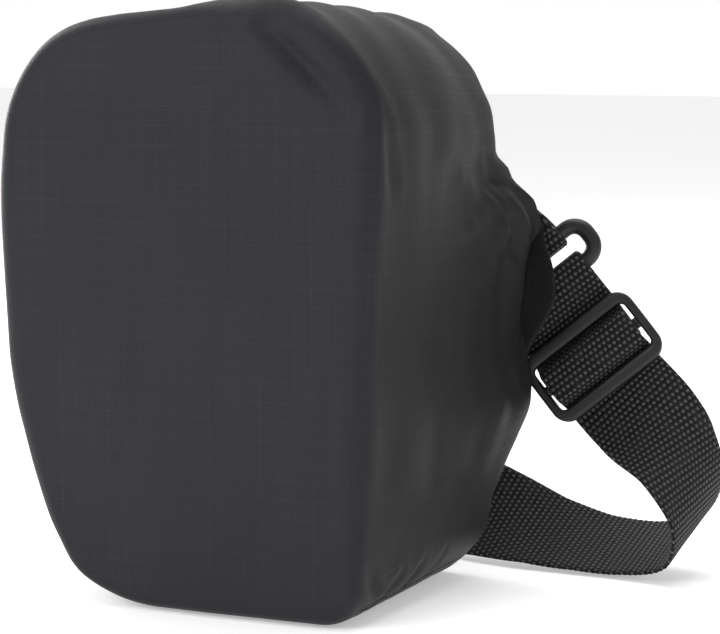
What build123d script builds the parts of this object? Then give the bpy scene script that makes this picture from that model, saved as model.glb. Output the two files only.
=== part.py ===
"""Small upright tail bag with a fitted rain cover, a strap ring and a shoulder strap.

Millimetres. +Z is up, the front of the bag faces -Y, the strap ring is on the +X side.
The origin is the middle of the flat base that the covered bag stands on.
"""
from build123d import *
import os

os.makedirs("parts", exist_ok=True)

# ---------------------------------------------------------------- driving dimensions
# Bag body: an upright box, wider at the top, with large top corners.
bag_height = 190.0
bag_bottom_half_width = 58.0
bag_top_half_width = 67.5
bag_front = -47.0
bag_back = 49.0
bottom_corner_radius = 38.0
top_corner_radius = 38.0
wall = 5.0                      # foam-padded panel
panel_edge_radius = 4.0
liner_thickness = 1.2
board_thickness = 2.0
board_gap = 0.5

# Rain cover.
cover_thickness = 1.2
cover_slack = 2.5               # air between the bag and the cover, sides, top and base
cover_front_slack = 4.8         # room for the zip sliders and pulls
cover_edge_radius = 9.0
cover_back = bag_back + cover_slack  # where the band turns in
hem_depth = 4.0
hem_reach = 15.0                # how far the gathered hem turns in over the back
elastic_width = 2.5
elastic_inset = 0.5             # elastic inside the hem, front and back
cover_base_rise = 15.0          # height of the separate base panel
cover_front_rise = 9.0          # how far the front panel wraps on to the sides

# Lid, zip and hinge.
lid_share = 0.7805              # the zip's height as a share of the bag's
lid_seam = lid_share * bag_height
zip_channel = 8.0               # bare zip tape between body and lid
zip_gap = 0.2
tape_thickness = 0.8
coil_width = 1.3
coil_thickness = 1.1
coil_inset = 0.9
piping_radius = 1.5
piping_proud = 0.6
hinge_strip_thickness = 0.9
hinge_strip_half_width = 48.0
hinge_strip_overlap = 4.0
hinge_strip_corner = 2.0

# Zip sliders and pulls.
slider_rest_offset = 8.0
slider_length = 11.0
slider_height = 7.4
slider_depth = 2.4
slider_corner = 2.5
slider_clearance = 0.25
ear_thickness = 1.2
ear_gap = 6.4
pull_pin_radius = 0.7
pull_clearance = 0.3
pull_width = 5.6
pull_length = 22.0
pull_thickness = 1.3
eye_wall = 0.55
eye_standoff = 0.2               # between the slider's face and the pull's eye

# Strap webbing, ring and three-bar strap slider.
webbing_width = 37.0
webbing_thickness = 1.5
ring_section = 5.5
ring_straight = webbing_width + 1.6
ring_pitch = 13.0               # between the two long bars
ring_end_flat = 1.0             # straight part at each end of the ring
tri_window_width = webbing_width + 2.5
tri_width = tri_window_width + 6.5
tri_height = 28.0
tri_window_height = 17.6
tri_thickness = 3.6
tri_bar = 4.0
tri_bar_thickness = 3.0
tri_corner = 6.5
tri_window_corner = 2.0
tri_bar_root = 1.0              # how far the middle bar runs into each side
fit_gap = 0.3                   # webbing against plastic
ring_to_slider = 28.0           # slider centre to the ring's outer bar
crest_gap = 0.2                 # between the two layers over the middle bar
layer_gap = 0.25                # between the two layers behind the slider
crest_ease = 1.2                # the crest is this much shorter than the wrapped bar, each end
crest_fall = 0.3
slot_lean = 0.9                 # how far the webbing leans as it goes through a slot
slot_exit = 0.6
tail_past = 1.0                 # the threaded piece ends this far past the slider's frame
head_past = 2.0
ring_lead = 4.0                 # straight webbing before it turns round the ring
end_slack = 0.9                 # the sewn end stands off the wrapped bar
end_ease = 1.0
end_entry = 2.0
thread_bend = 0.9
tab_shell = 1.5
tab_side_gap = 2.0              # the tab is this much narrower than the ring, each side
sewn_gap = 0.2                  # webbing sewn flat on the back panel
table_gap = 0.7                 # the standing folds clear the table
anchor_drop = 20.8              # the tab's sewn end below the zip channel

# The ring and the slider hang in one slanted plane beside the bag's back corner, and the
# strap's routes are laid out for a back at this depth; both move with the bag's back.
laid_out_back = 49.0
back_shift = bag_back - laid_out_back
slider_centre = Vector(93.1, 67.5 + back_shift, 75.8)
bar_direction = Vector(0.735, 0.25, 0.63).normalized()
slider_face = Vector(0.21, -0.967, 0.14).normalized()

# ---------------------------------------------------------------- derived levels
bag_base = cover_slack + cover_thickness
bag_top = bag_base + bag_height
body_top = bag_base + lid_seam - zip_channel / 2
lid_bottom = body_top + zip_channel
zip_level = body_top + zip_channel / 2
cover_front = bag_front - cover_front_slack - cover_thickness
cover_grow = cover_slack + cover_thickness
cavity_front = bag_front + wall
cavity_back = bag_back - wall
strap_plane = Plane(origin=slider_centre, x_dir=bar_direction, z_dir=slider_face)
strap_up = strap_plane.y_dir
ring_outer_bar = slider_centre + strap_up * ring_to_slider
ring_inner_bar = slider_centre + strap_up * (ring_to_slider + ring_pitch)


def save(builder, name):
    """Label a finished piece and write it."""
    builder.part.label = name
    export_step(builder.part, f"parts/{name}.step")


# ---------------------------------------------------------------- shared outlines
side_slope = (bag_top_half_width - bag_bottom_half_width) / bag_height
side_stretch = (1 + side_slope**2) ** 0.5
smallest_corner = 4.0


def outline(grow):
    """The bag's front outline, grown or shrunk by the same amount all round."""
    low = bag_base - grow
    high = bag_top + grow
    low_half = bag_bottom_half_width - side_slope * grow + side_stretch * grow
    high_half = bag_top_half_width + side_slope * grow + side_stretch * grow
    with BuildSketch() as face:
        with BuildLine():
            Polyline((-low_half, low), (low_half, low), (high_half, high), (-high_half, high),
                     close=True)
        make_face()
        fillet(face.vertices().group_by(Axis.Y)[0], max(bottom_corner_radius + grow, smallest_corner))
        fillet(face.vertices().group_by(Axis.Y)[-1], top_corner_radius + grow)
    return face.sketch


def slab(grow, front, back):
    """The outline run from the front to the back of a piece."""
    with BuildPart() as body:
        with BuildSketch(Plane.XZ.offset(-back)):
            add(outline(grow))
        extrude(amount=back - front)
    return body.part


def band(grow_out, grow_in, front, back):
    """A ring of cloth that follows the outline."""
    with BuildPart() as body:
        with BuildSketch(Plane.XZ.offset(-back)):
            add(outline(grow_out))
            add(outline(grow_in), mode=Mode.SUBTRACT)
        extrude(amount=back - front)
    return body.part


def outline_cord(grow, level, radius):
    """A round cord along the outline, in the upright plane y = level."""
    path = Plane.XZ.offset(-level) * outline(grow).face().outer_wire()
    start = path @ 0
    with BuildPart() as body:
        with BuildSketch(Plane(origin=start, z_dir=path % 0)):
            Circle(radius)
        sweep(path=path)
    return body.part


# ---------------------------------------------------------------- padded shell of the bag
bag_solid = slab(0, bag_front, bag_back)
bag_cavity = slab(-wall, cavity_front, cavity_back)
front_cord = outline_cord(piping_proud, cavity_front, piping_radius)
back_cord = outline_cord(piping_proud, cavity_back, piping_radius)

with BuildPart() as padded_shell:
    add(bag_solid)
    fillet(padded_shell.faces().sort_by(Axis.Y)[0].edges(), panel_edge_radius)
    fillet(padded_shell.faces().sort_by(Axis.Y)[-1].edges(), panel_edge_radius)
    add(bag_cavity, mode=Mode.SUBTRACT)
    add(front_cord, mode=Mode.SUBTRACT)
    add(back_cord, mode=Mode.SUBTRACT)

front_side = Plane.XZ.offset(-cavity_front)
back_side = Plane.XZ.offset(-cavity_back)
body_edge = Plane.XY.offset(body_top)
lid_edge = Plane.XY.offset(lid_bottom)
base_edge = Plane.XY.offset(bag_base + bottom_corner_radius)

with BuildPart() as front_panel:
    add(padded_shell.part)
    split(bisect_by=body_edge, keep=Keep.BOTTOM)
    split(bisect_by=front_side, keep=Keep.TOP)
save(front_panel, "front_panel")

with BuildPart() as back_panel:
    add(padded_shell.part)
    split(bisect_by=body_edge, keep=Keep.BOTTOM)
    split(bisect_by=back_side, keep=Keep.BOTTOM)
save(back_panel, "back_panel")

with BuildPart() as base_panel:
    add(padded_shell.part)
    split(bisect_by=base_edge, keep=Keep.BOTTOM)
    split(bisect_by=front_side, keep=Keep.BOTTOM)
    split(bisect_by=back_side, keep=Keep.TOP)
save(base_panel, "base_panel")

for side_name, side_keep in (("left", Keep.BOTTOM), ("right", Keep.TOP)):
    with BuildPart() as side_panel:
        add(padded_shell.part)
        split(bisect_by=body_edge, keep=Keep.BOTTOM)
        split(bisect_by=base_edge, keep=Keep.TOP)
        split(bisect_by=front_side, keep=Keep.BOTTOM)
        split(bisect_by=back_side, keep=Keep.TOP)
        split(bisect_by=Plane.YZ, keep=side_keep)
    save(side_panel, f"side_panel_{side_name}")

with BuildPart() as lid_front:
    add(padded_shell.part)
    split(bisect_by=lid_edge, keep=Keep.TOP)
    split(bisect_by=front_side, keep=Keep.TOP)
save(lid_front, "lid_front")

with BuildPart() as lid_back:
    add(padded_shell.part)
    split(bisect_by=lid_edge, keep=Keep.TOP)
    split(bisect_by=back_side, keep=Keep.BOTTOM)
save(lid_back, "lid_back")

with BuildPart() as lid_top:
    add(padded_shell.part)
    split(bisect_by=lid_edge, keep=Keep.TOP)
    split(bisect_by=front_side, keep=Keep.BOTTOM)
    split(bisect_by=back_side, keep=Keep.TOP)
save(lid_top, "lid_top")

# Piping sewn into the seams between the faces and the sides.
for cord_name, edge, keep in (
    ("body_piping", body_edge, Keep.BOTTOM),
    ("lid_piping", lid_edge, Keep.TOP),
):
    with BuildPart() as piping:
        add(front_cord)
        add(back_cord)
        split(bisect_by=edge, keep=keep)
    save(piping, cord_name)

# ---------------------------------------------------------------- liners and base board
liner_solid = slab(-wall, cavity_front, cavity_back)
liner_hollow = slab(-wall - liner_thickness, cavity_front + liner_thickness,
                    cavity_back - liner_thickness)
for liner_name, edge, keep in (
    ("body_liner", body_edge, Keep.BOTTOM),
    ("lid_liner", lid_edge, Keep.TOP),
):
    with BuildPart() as liner:
        add(liner_solid)
        add(liner_hollow, mode=Mode.SUBTRACT)
        split(bisect_by=edge, keep=keep)
    save(liner, liner_name)

board_level = bag_base + wall + liner_thickness
board_width = 2 * (bag_bottom_half_width - bottom_corner_radius)
board_depth = cavity_back - cavity_front - 2 * (liner_thickness + board_gap)
with BuildPart() as base_board:
    with BuildSketch(Plane.XY.offset(board_level)):
        with Locations((0, (cavity_front + cavity_back) / 2)):
            RectangleRounded(board_width, board_depth, wall)
    extrude(amount=board_thickness)
save(base_board, "base_board")

# ---------------------------------------------------------------- zip tapes and coils
tape_inset = coil_inset + coil_thickness
tape_band = slab(-tape_inset, bag_front + tape_inset, bag_back - tape_inset)
tape_hollow = slab(-tape_inset - tape_thickness, bag_front + tape_inset + tape_thickness,
                   bag_back - tape_inset - tape_thickness)
coil_band = slab(-coil_inset, bag_front + coil_inset, bag_back - coil_inset)
zip_end = Plane.XZ.offset(-(cavity_back - wall))

for half, tape_low, tape_high, coil_low in (
    ("lower", body_top, zip_level - zip_gap / 2, zip_level - zip_gap / 2 - coil_width),
    ("upper", zip_level + zip_gap / 2, lid_bottom, zip_level + zip_gap / 2),
):
    with BuildPart() as tape:
        add(tape_band)
        add(tape_hollow, mode=Mode.SUBTRACT)
        split(bisect_by=Plane.XY.offset(tape_low), keep=Keep.TOP)
        split(bisect_by=Plane.XY.offset(tape_high), keep=Keep.BOTTOM)
        split(bisect_by=zip_end, keep=Keep.TOP)
    save(tape, f"{half}_zip_tape")
    with BuildPart() as coil:
        add(coil_band)
        add(tape_band, mode=Mode.SUBTRACT)
        split(bisect_by=Plane.XY.offset(coil_low), keep=Keep.TOP)
        split(bisect_by=Plane.XY.offset(coil_low + coil_width), keep=Keep.BOTTOM)
        split(bisect_by=zip_end, keep=Keep.TOP)
    save(coil, f"{half}_zip_coil")

# Cloth hinge across the back of the zip channel.
with BuildPart() as hinge_strip:
    with BuildSketch(Plane.XZ.offset(-bag_back - hinge_strip_thickness)):
        with Locations((0, zip_level)):
            RectangleRounded(
                2 * hinge_strip_half_width, zip_channel + 2 * hinge_strip_overlap, hinge_strip_corner
            )
    extrude(amount=hinge_strip_thickness)
save(hinge_strip, "hinge_strip")

# ---------------------------------------------------------------- zip sliders and pulls
slider_face_y = bag_front + tape_inset - slider_clearance
slider_front_y = slider_face_y - slider_depth
channel_height = 2 * coil_width + zip_gap + 2 * slider_clearance
channel_depth = coil_thickness
eye_radius = pull_pin_radius + pull_clearance
pin_y = slider_front_y - eye_radius - eye_wall - eye_standoff

for side_name, side in (("left", -1), ("right", 1)):
    slider_x = side * slider_rest_offset
    with BuildPart() as zip_slider:
        with BuildSketch(Plane.XZ.offset(-slider_face_y)):
            with Locations((slider_x, zip_level)):
                RectangleRounded(slider_length, slider_height, slider_corner)
        extrude(amount=slider_depth)
        with BuildSketch(Plane.XZ.offset(-slider_face_y)):
            with Locations((slider_x, zip_level - channel_height / 2 + slider_height / 2)):
                Rectangle(slider_length * 2, slider_height)
        extrude(amount=channel_depth, mode=Mode.SUBTRACT)
        for ear in (-1, 1):
            ear_middle = slider_x + ear * (ear_gap + ear_thickness) / 2
            with BuildSketch(Plane.YZ.offset(ear_middle - ear_thickness / 2)):
                with Locations((pin_y, zip_level)):
                    Circle(eye_radius + eye_wall)
                with Locations(((pin_y + slider_front_y) / 2, zip_level)):
                    Rectangle(abs(slider_front_y - pin_y), 2 * eye_radius)
            extrude(amount=ear_thickness)
        with BuildSketch(Plane.YZ.offset(slider_x - ear_gap / 2)):
            with Locations((pin_y, zip_level)):
                Circle(pull_pin_radius)
        extrude(amount=ear_gap)
    save(zip_slider, f"zip_slider_{side_name}")

    with BuildPart() as zip_pull:
        with BuildSketch(Plane.YZ.offset(slider_x - pull_width / 2)):
            with Locations((pin_y, zip_level)):
                Circle(eye_radius + eye_wall)
            with Locations((pin_y, zip_level - pull_length / 2)):
                Rectangle(pull_thickness, pull_length)
            with Locations((pin_y, zip_level)):
                Circle(eye_radius, mode=Mode.SUBTRACT)
        extrude(amount=pull_width)
        low_corners = zip_pull.edges().filter_by(Axis.Y).group_by(Axis.Z)[0]
        fillet(low_corners, pull_width / 3)
    save(zip_pull, f"zip_pull_{side_name}")

# ---------------------------------------------------------------- rain cover
with BuildPart() as cover_hollow:
    add(slab(cover_slack, cover_front + cover_thickness, cover_back))
    fillet(cover_hollow.faces().sort_by(Axis.Y)[0].edges(), cover_edge_radius - cover_thickness)

with BuildPart() as cover_shell:
    add(slab(cover_grow, cover_front, cover_back))
    fillet(cover_shell.faces().sort_by(Axis.Y)[0].edges(), cover_edge_radius)
    add(cover_hollow.part, mode=Mode.SUBTRACT)

cover_split = Plane.XZ.offset(-(cover_front + cover_front_rise))
cover_floor = Plane.XY.offset(cover_base_rise)

with BuildPart() as cover_front_panel:
    add(cover_shell.part)
    split(bisect_by=cover_split, keep=Keep.TOP)
save(cover_front_panel, "cover_front")

with BuildPart() as cover_base:
    add(cover_shell.part)
    split(bisect_by=cover_split, keep=Keep.BOTTOM)
    split(bisect_by=cover_floor, keep=Keep.BOTTOM)
save(cover_base, "cover_base")

with BuildPart() as cover_band:
    add(cover_shell.part)
    split(bisect_by=cover_split, keep=Keep.BOTTOM)
    split(bisect_by=cover_floor, keep=Keep.TOP)
save(cover_band, "cover_band")

with BuildPart() as cover_hem:
    add(band(cover_grow, cover_grow - hem_reach, cover_back, cover_back + hem_depth))
save(cover_hem, "cover_hem")

with BuildPart() as hem_elastic:
    add(band(cover_grow - hem_reach, cover_grow - hem_reach - elastic_width,
             cover_back + elastic_inset, cover_back + hem_depth - elastic_inset))
save(hem_elastic, "hem_elastic")

# ---------------------------------------------------------------- strap ring
ring_plane = Plane(
    origin=(ring_outer_bar + ring_inner_bar) / 2, x_dir=bar_direction, z_dir=slider_face
)
ring_bend = ring_pitch / 2 - ring_end_flat
ring_half_length = ring_straight / 2 + ring_bend
with BuildPart() as ring:
    with BuildLine(ring_plane) as ring_path:
        FilletPolyline(
            (-ring_half_length, -ring_pitch / 2),
            (ring_half_length, -ring_pitch / 2),
            (ring_half_length, ring_pitch / 2),
            (-ring_half_length, ring_pitch / 2),
            radius=ring_bend,
            close=True,
        )
    ring_wire = ring_path.wires()[0]
    with BuildSketch(Plane(origin=ring_wire @ 0, z_dir=ring_wire % 0)):
        Circle(ring_section / 2)
    sweep(path=ring_wire)
save(ring, "strap_ring")

# ---------------------------------------------------------------- webbing tab that holds the ring
tab_inner = ring_section / 2 + fit_gap
tab_loop_plane = Plane(origin=ring_inner_bar, x_dir=slider_face, z_dir=bar_direction)
sewn_level = bag_back + webbing_thickness + sewn_gap
anchor_top = body_top - anchor_drop
tab_stations = (
    ((63.6, 66.2 + back_shift, 110.8), (0.735, 0.25, 0.63)),
    ((56.0, 65.0 + back_shift, 116.0), (0.66, 0.24, 0.71)),
    ((48.0, 60.8 + back_shift, anchor_top - 7.2), (0.55, 0.20, 0.81)),
    ((41.0, 55.4 + back_shift, anchor_top - 6.7), (0.45, 0.10, 0.89)),
    ((33.5, sewn_level, anchor_top - 5.7), (0.33, 0.00, 0.94)),
    ((17.0, sewn_level, anchor_top), (0.33, 0.00, 0.94)),
)
tab_width = ring_straight - 2 * tab_side_gap


def station_plane(point, width_direction, tangent):
    """Plane across a band, its x axis along the band's width."""
    across = Vector(width_direction)
    along = Vector(tangent).normalized()
    across = across - along * across.dot(along)
    return Plane(origin=point, x_dir=across, z_dir=along)


def band_loft(planes, width, thickness):
    """A flat band through a row of planes."""
    with BuildPart() as body:
        for plane in planes:
            with BuildSketch(plane):
                Rectangle(width, thickness)
        loft(ruled=True)
    return body.part


tab_points = [Vector(point) for point, direction in tab_stations]
tab_planes = []
for index, (point, direction) in enumerate(tab_stations):
    before = tab_points[max(index - 1, 0)]
    after = tab_points[min(index + 1, len(tab_points) - 1)]
    tab_planes.append(station_plane(point, direction, after - before))
tab_sheet = band_loft(tab_planes, tab_width, 2 * webbing_thickness)

with BuildPart() as ring_tab:
    with BuildSketch(tab_loop_plane.offset(-tab_width / 2)):
        Circle(tab_inner + tab_shell)
    extrude(amount=tab_width)
    add(tab_sheet)
    with BuildSketch(tab_loop_plane.offset(-tab_width)):
        Circle(tab_inner)
    extrude(amount=2 * tab_width, mode=Mode.SUBTRACT)
save(ring_tab, "ring_tab")

# ---------------------------------------------------------------- three-bar strap slider
with BuildPart() as strap_slider:
    with BuildSketch(strap_plane.offset(-tri_thickness / 2)):
        RectangleRounded(tri_width, tri_height, tri_corner)
        RectangleRounded(
            tri_window_width, tri_window_height, tri_window_corner, mode=Mode.SUBTRACT
        )
    extrude(amount=tri_thickness)
    with BuildSketch(strap_plane.offset(-tri_bar_thickness / 2)):
        Rectangle(tri_window_width + 2 * tri_bar_root, tri_bar)
    extrude(amount=tri_bar_thickness)
save(strap_slider, "strap_slider")

# ---------------------------------------------------------------- webbing through slider and ring
# Drawn across the width of the webbing: u runs up the strap, v out of the slider's face.
section_plane = Plane(origin=slider_centre, x_dir=strap_up, z_dir=bar_direction * -1)
half_web = webbing_thickness / 2
behind_bar = -(tri_thickness / 2 + fit_gap + half_web)
wrap_u = tri_bar / 2 + fit_gap + half_web
wrap_v = tri_bar_thickness / 2 + fit_gap + half_web
over_wrap = wrap_v + webbing_thickness + crest_gap
ring_turn = ring_section / 2 + fit_gap + half_web
window_half = tri_window_height / 2
outer_half = tri_height / 2
slot_middle = (wrap_u + half_web + window_half) / 2
second_layer = behind_bar - webbing_thickness - layer_gap

with BuildPart() as strap_threaded:
    with BuildSketch(section_plane.offset(-webbing_width / 2)):
        with BuildLine():
            FilletPolyline(
                (-outer_half - tail_past, behind_bar),
                (-slot_middle - slot_exit, behind_bar),
                (-slot_middle + slot_lean, over_wrap - crest_fall),
                (-wrap_u + crest_ease, over_wrap),
                (wrap_u - crest_ease, over_wrap),
                (slot_middle - slot_lean, over_wrap - crest_fall),
                (slot_middle + slot_exit, behind_bar),
                (outer_half + head_past, behind_bar),
                (ring_to_slider - ring_lead, ring_turn),
                (ring_to_slider, ring_turn),
                radius=thread_bend,
            )
        trace(line_width=webbing_thickness)
    extrude(amount=webbing_width)
save(strap_threaded, "strap_threaded")

with BuildPart() as strap_end:
    with BuildSketch(section_plane.offset(-webbing_width / 2)):
        with BuildLine():
            RadiusArc((ring_to_slider, ring_turn), (ring_to_slider, -ring_turn), ring_turn)
            Polyline(
                (ring_to_slider, -ring_turn),
                (ring_to_slider - ring_lead, -ring_turn),
                (outer_half + end_ease, second_layer),
                (window_half - end_entry, second_layer),
                (wrap_u - end_ease, -wrap_v - end_slack),
                (-wrap_u + end_ease, -wrap_v - end_slack),
            )
        trace(line_width=webbing_thickness)
        RectangleRounded(2 * (wrap_u + half_web), 2 * (wrap_v + half_web), webbing_thickness)
        Rectangle(tri_bar + 2 * fit_gap, tri_bar_thickness + 2 * fit_gap, mode=Mode.SUBTRACT)
    extrude(amount=webbing_width)
save(strap_end, "strap_end")

# ---------------------------------------------------------------- free strap
# Each point of the route: place, then the direction of the webbing's width there.
standing = (0.0, 0.0, 1.0)
fold_level = webbing_width / 2 + table_gap
loop_start = slider_centre - strap_up * (outer_half + tail_past) + slider_face * behind_bar
loop_places = (
    ((111.0, 69.5, 56.5), (0.69, 0.38, 0.62)),
    ((125.5, 67.0, 43.5), (0.42, 0.82, 0.38)),
    ((131.5, 71.5, 26.5), (0.16, 0.93, 0.34)),
    ((125.0, 77.5, 11.5), (0.04, 0.92, 0.38)),
    ((107.5, 80.0, 7.4), (0.02, 0.94, 0.34)),
    ((88.5, 80.5, 7.9), (0.04, 0.93, 0.37)),
    ((70.0, 80.5, 11.0), (0.03, 0.86, 0.51)),
    ((52.0, 80.5, 15.4), (0.02, 0.66, 0.75)),
    ((33.0, 82.5, fold_level), (0.00, 0.30, 0.95)),
    ((14.0, 84.0, fold_level), standing),
)
fold_places = (
    (14.0, 84.0),
    (-10.0, 85.9),
    (-36.0, 84.5),
    (-60.0, 86.0),
    (-77.0, 84.5),
    (-87.0, 88.0),
    (-87.0, 97.5),
    (-76.0, 101.0),
    (-52.0, 99.5),
    (-26.0, 101.5),
    (0.0, 99.5),
    (22.0, 101.0),
    (33.0, 104.0),
    (33.0, 113.0),
    (22.0, 116.5),
    (-2.0, 115.0),
    (-27.0, 117.0),
    (-53.0, 115.0),
    (-76.0, 116.5),
    (-87.0, 120.0),
    (-87.0, 129.0),
    (-76.0, 132.0),
    (-52.0, 130.5),
    (-28.0, 132.5),
    (-6.0, 131.0),
    (11.0, 132.5),
    (20.0, 136.5),
    (19.0, 145.5),
    (8.0, 148.5),
    (-14.0, 146.5),
    (-40.0, 148.5),
    (-66.0, 146.5),
    (-86.0, 148.0),
    (-99.0, 145.0),
    (-105.0, 136.0),
    (-105.3, 122.0),
)
rise_places = (
    ((-105.3, 122.0, fold_level), standing),
    ((-105.6, 108.0, fold_level), (-0.06, 0.0, 1.00)),
    ((-102.5, 95.0, 22.5), (-0.25, 0.0, 0.97)),
    ((-96.5, 84.5, 32.0), (-0.45, 0.0, 0.89)),
    ((-88.0, 77.0, 45.5), (-0.58, 0.05, 0.81)),
    ((-77.5, 71.5, 61.0), (-0.68, 0.10, 0.73)),
    ((-65.0, 67.5, 77.0), (-0.73, 0.12, 0.68)),
    ((-51.5, 63.5, 92.0), (-0.75, 0.10, 0.65)),
    ((-39.0, 58.5, 105.0), (-0.76, 0.05, 0.65)),
    ((-29.0, 50.6, 114.0), (-0.76, 0.00, 0.65)),
    ((-16.0, 50.5, 129.2), (-0.76, 0.00, 0.65)),
)
arc_share = 0.45
laid_out_anchor = 127.2
rise_scale = (anchor_top - fold_level) / (laid_out_anchor - fold_level)


def behind_bag(places, stretch):
    """Route points moved with the bag's back, and their height above the folds stretched."""
    moved = []
    for (x, y, z), width_direction in places:
        height = z if z < fold_level else fold_level + (z - fold_level) * stretch
        moved.append(((x, y + back_shift, height), width_direction))
    return moved


loop_route = [(tuple(loop_start), tuple(bar_direction))] + behind_bag(loop_places, 1.0)
rise_route = behind_bag(rise_places, rise_scale)


def tan_degrees(angle):
    """Tangent of an angle given in degrees."""
    turned = Vector(1, 0, 0).rotate(Axis.Z, angle)
    return turned.Y / turned.X


def corner_radii(points):
    """Largest arc at each corner that its two runs allow."""
    radii = []
    for before, corner, after in zip(points, points[1:], points[2:]):
        arriving = corner - before
        leaving = after - corner
        half_turn = arriving.get_angle(leaving) / 2
        shorter = min(arriving.length, leaving.length)
        radii.append(arc_share * shorter / tan_degrees(half_turn))
    return radii


def route_wire(points):
    """Straight runs joined by tangent arcs."""
    radii = corner_radii(points)
    print("arc radii", [round(radius, 1) for radius in radii])
    with BuildLine() as path:
        FilletPolyline(*points, radius=radii)
    return path.wires()[0]


def width_along(route, share):
    """Width direction at a share of the route's length, between its points."""
    points = [Vector(point) for point, direction in route]
    lengths = [0.0]
    for before, after in zip(points, points[1:]):
        lengths.append(lengths[-1] + (after - before).length)
    place = share * lengths[-1]
    for index in range(len(points) - 1):
        if place <= lengths[index + 1] or index == len(points) - 2:
            run = lengths[index + 1] - lengths[index]
            blend = (place - lengths[index]) / run
            low = Vector(route[index][1])
            high = Vector(route[index + 1][1])
            return low * (1 - blend) + high * blend
    return Vector(route[-1][1])


def twisted_band(route):
    """A flat band along a route that turns and twists."""
    wire = route_wire([Vector(point) for point, direction in route])
    count = 3 * (len(route) - 1)
    planes = []
    for step in range(count + 1):
        share = step / count
        planes.append(
            station_plane(wire @ share, width_along(route, share), wire % share)
        )
    return band_loft(planes, webbing_width, webbing_thickness), wire.length


loop_band, loop_length = twisted_band(loop_route)
rise_band, rise_length = twisted_band(rise_route)
fold_points = [Vector(x, y + back_shift, 0) for x, y in fold_places]
fold_wire = route_wire(fold_points)

with BuildPart() as strap_loop:
    add(loop_band)
save(strap_loop, "strap_loop")

with BuildPart() as strap_folds:
    with BuildSketch(Plane.XY.offset(fold_level - webbing_width / 2)):
        with BuildLine():
            add(fold_wire)
        trace(line_width=webbing_thickness)
    extrude(amount=webbing_width)
save(strap_folds, "strap_folds")

with BuildPart() as strap_rise:
    add(rise_band)
save(strap_rise, "strap_rise")

threaded_length = strap_threaded.part.volume / (webbing_width * webbing_thickness)
strap_length = loop_length + fold_wire.length + rise_length + threaded_length
print("strap length", round(strap_length))

# ---------------------------------------------------------------- stitched patches on the back
patch_thickness = 0.9
patch_length = 12.0
patch_width = 31.0
patch_corner = 2.0
patch_gap = 0.9
for patch_name, middle, direction, layers in (
    ("strap_patch", (-20.0, anchor_top - 2.7), (0.650, 0.760), 1),
    ("ring_patch", (24.0, anchor_top - 2.4), (0.945, -0.327), 2),
):
    patch_level = bag_back + patch_gap + layers * webbing_thickness
    patch_plane = Plane(
        origin=(middle[0], patch_level + patch_thickness, middle[1]),
        x_dir=(direction[0], 0, direction[1]),
        z_dir=(0, -1, 0),
    )
    with BuildPart() as patch:
        with BuildSketch(patch_plane):
            RectangleRounded(patch_length, patch_width, patch_corner)
        extrude(amount=patch_thickness)
    save(patch, patch_name)
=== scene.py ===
"""Small upright tail bag in a fitted rain cover, with a strap ring and a long webbing shoulder strap.

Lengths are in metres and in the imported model's frame; mm() turns millimetres into them.
The bag stands on its base at the origin, its front faces -Y and the strap ring is on the +X side.
"""
import math

import bmesh
import bpy
import numpy as np
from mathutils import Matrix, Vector


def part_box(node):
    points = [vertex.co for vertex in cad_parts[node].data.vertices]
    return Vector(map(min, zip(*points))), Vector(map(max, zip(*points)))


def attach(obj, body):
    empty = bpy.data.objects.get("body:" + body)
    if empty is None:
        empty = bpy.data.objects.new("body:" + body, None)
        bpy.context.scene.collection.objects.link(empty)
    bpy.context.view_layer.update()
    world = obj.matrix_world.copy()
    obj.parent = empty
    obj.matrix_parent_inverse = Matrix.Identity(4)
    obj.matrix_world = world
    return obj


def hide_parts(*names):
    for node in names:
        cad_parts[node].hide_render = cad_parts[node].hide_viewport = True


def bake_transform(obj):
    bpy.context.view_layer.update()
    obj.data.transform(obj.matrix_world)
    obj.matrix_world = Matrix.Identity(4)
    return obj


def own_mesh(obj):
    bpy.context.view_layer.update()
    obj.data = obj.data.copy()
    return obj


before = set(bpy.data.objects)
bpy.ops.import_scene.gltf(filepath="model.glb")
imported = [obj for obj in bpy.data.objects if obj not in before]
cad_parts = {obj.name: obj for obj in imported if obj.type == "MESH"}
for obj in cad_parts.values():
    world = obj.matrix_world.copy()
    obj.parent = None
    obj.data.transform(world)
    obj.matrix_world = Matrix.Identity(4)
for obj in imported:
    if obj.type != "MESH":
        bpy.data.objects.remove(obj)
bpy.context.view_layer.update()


def mm(*values):
    """Millimetres to metres: one number, or a vector of three."""
    scaled = [value * 0.001 for value in values]
    return scaled[0] if len(scaled) == 1 else Vector(scaled)


# ---------------------------------------------------------------- sizes of the cut pieces
BAG_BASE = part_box("base_panel")[0][2]
BAG_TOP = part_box("lid_top")[1][2]
BAG_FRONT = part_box("front_panel")[0][1]
BAG_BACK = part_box("back_panel")[1][1]
BODY_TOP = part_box("front_panel")[1][2]
LID_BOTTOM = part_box("lid_front")[0][2]
TOP_HALF_WIDTH = mm(67.5)
BOTTOM_HALF_WIDTH = mm(58.0)
TOP_CORNER = mm(38.0)
BOTTOM_CORNER = mm(38.0)
WALL = mm(5.0)

COVER_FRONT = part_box("cover_front")[0][1]
COVER_GROW = BAG_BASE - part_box("cover_base")[0][2]

WEBBING_WIDTH = mm(37.0)
WEBBING_THICKNESS = mm(1.5)
RIB_PITCH = mm(2.05)


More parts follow.
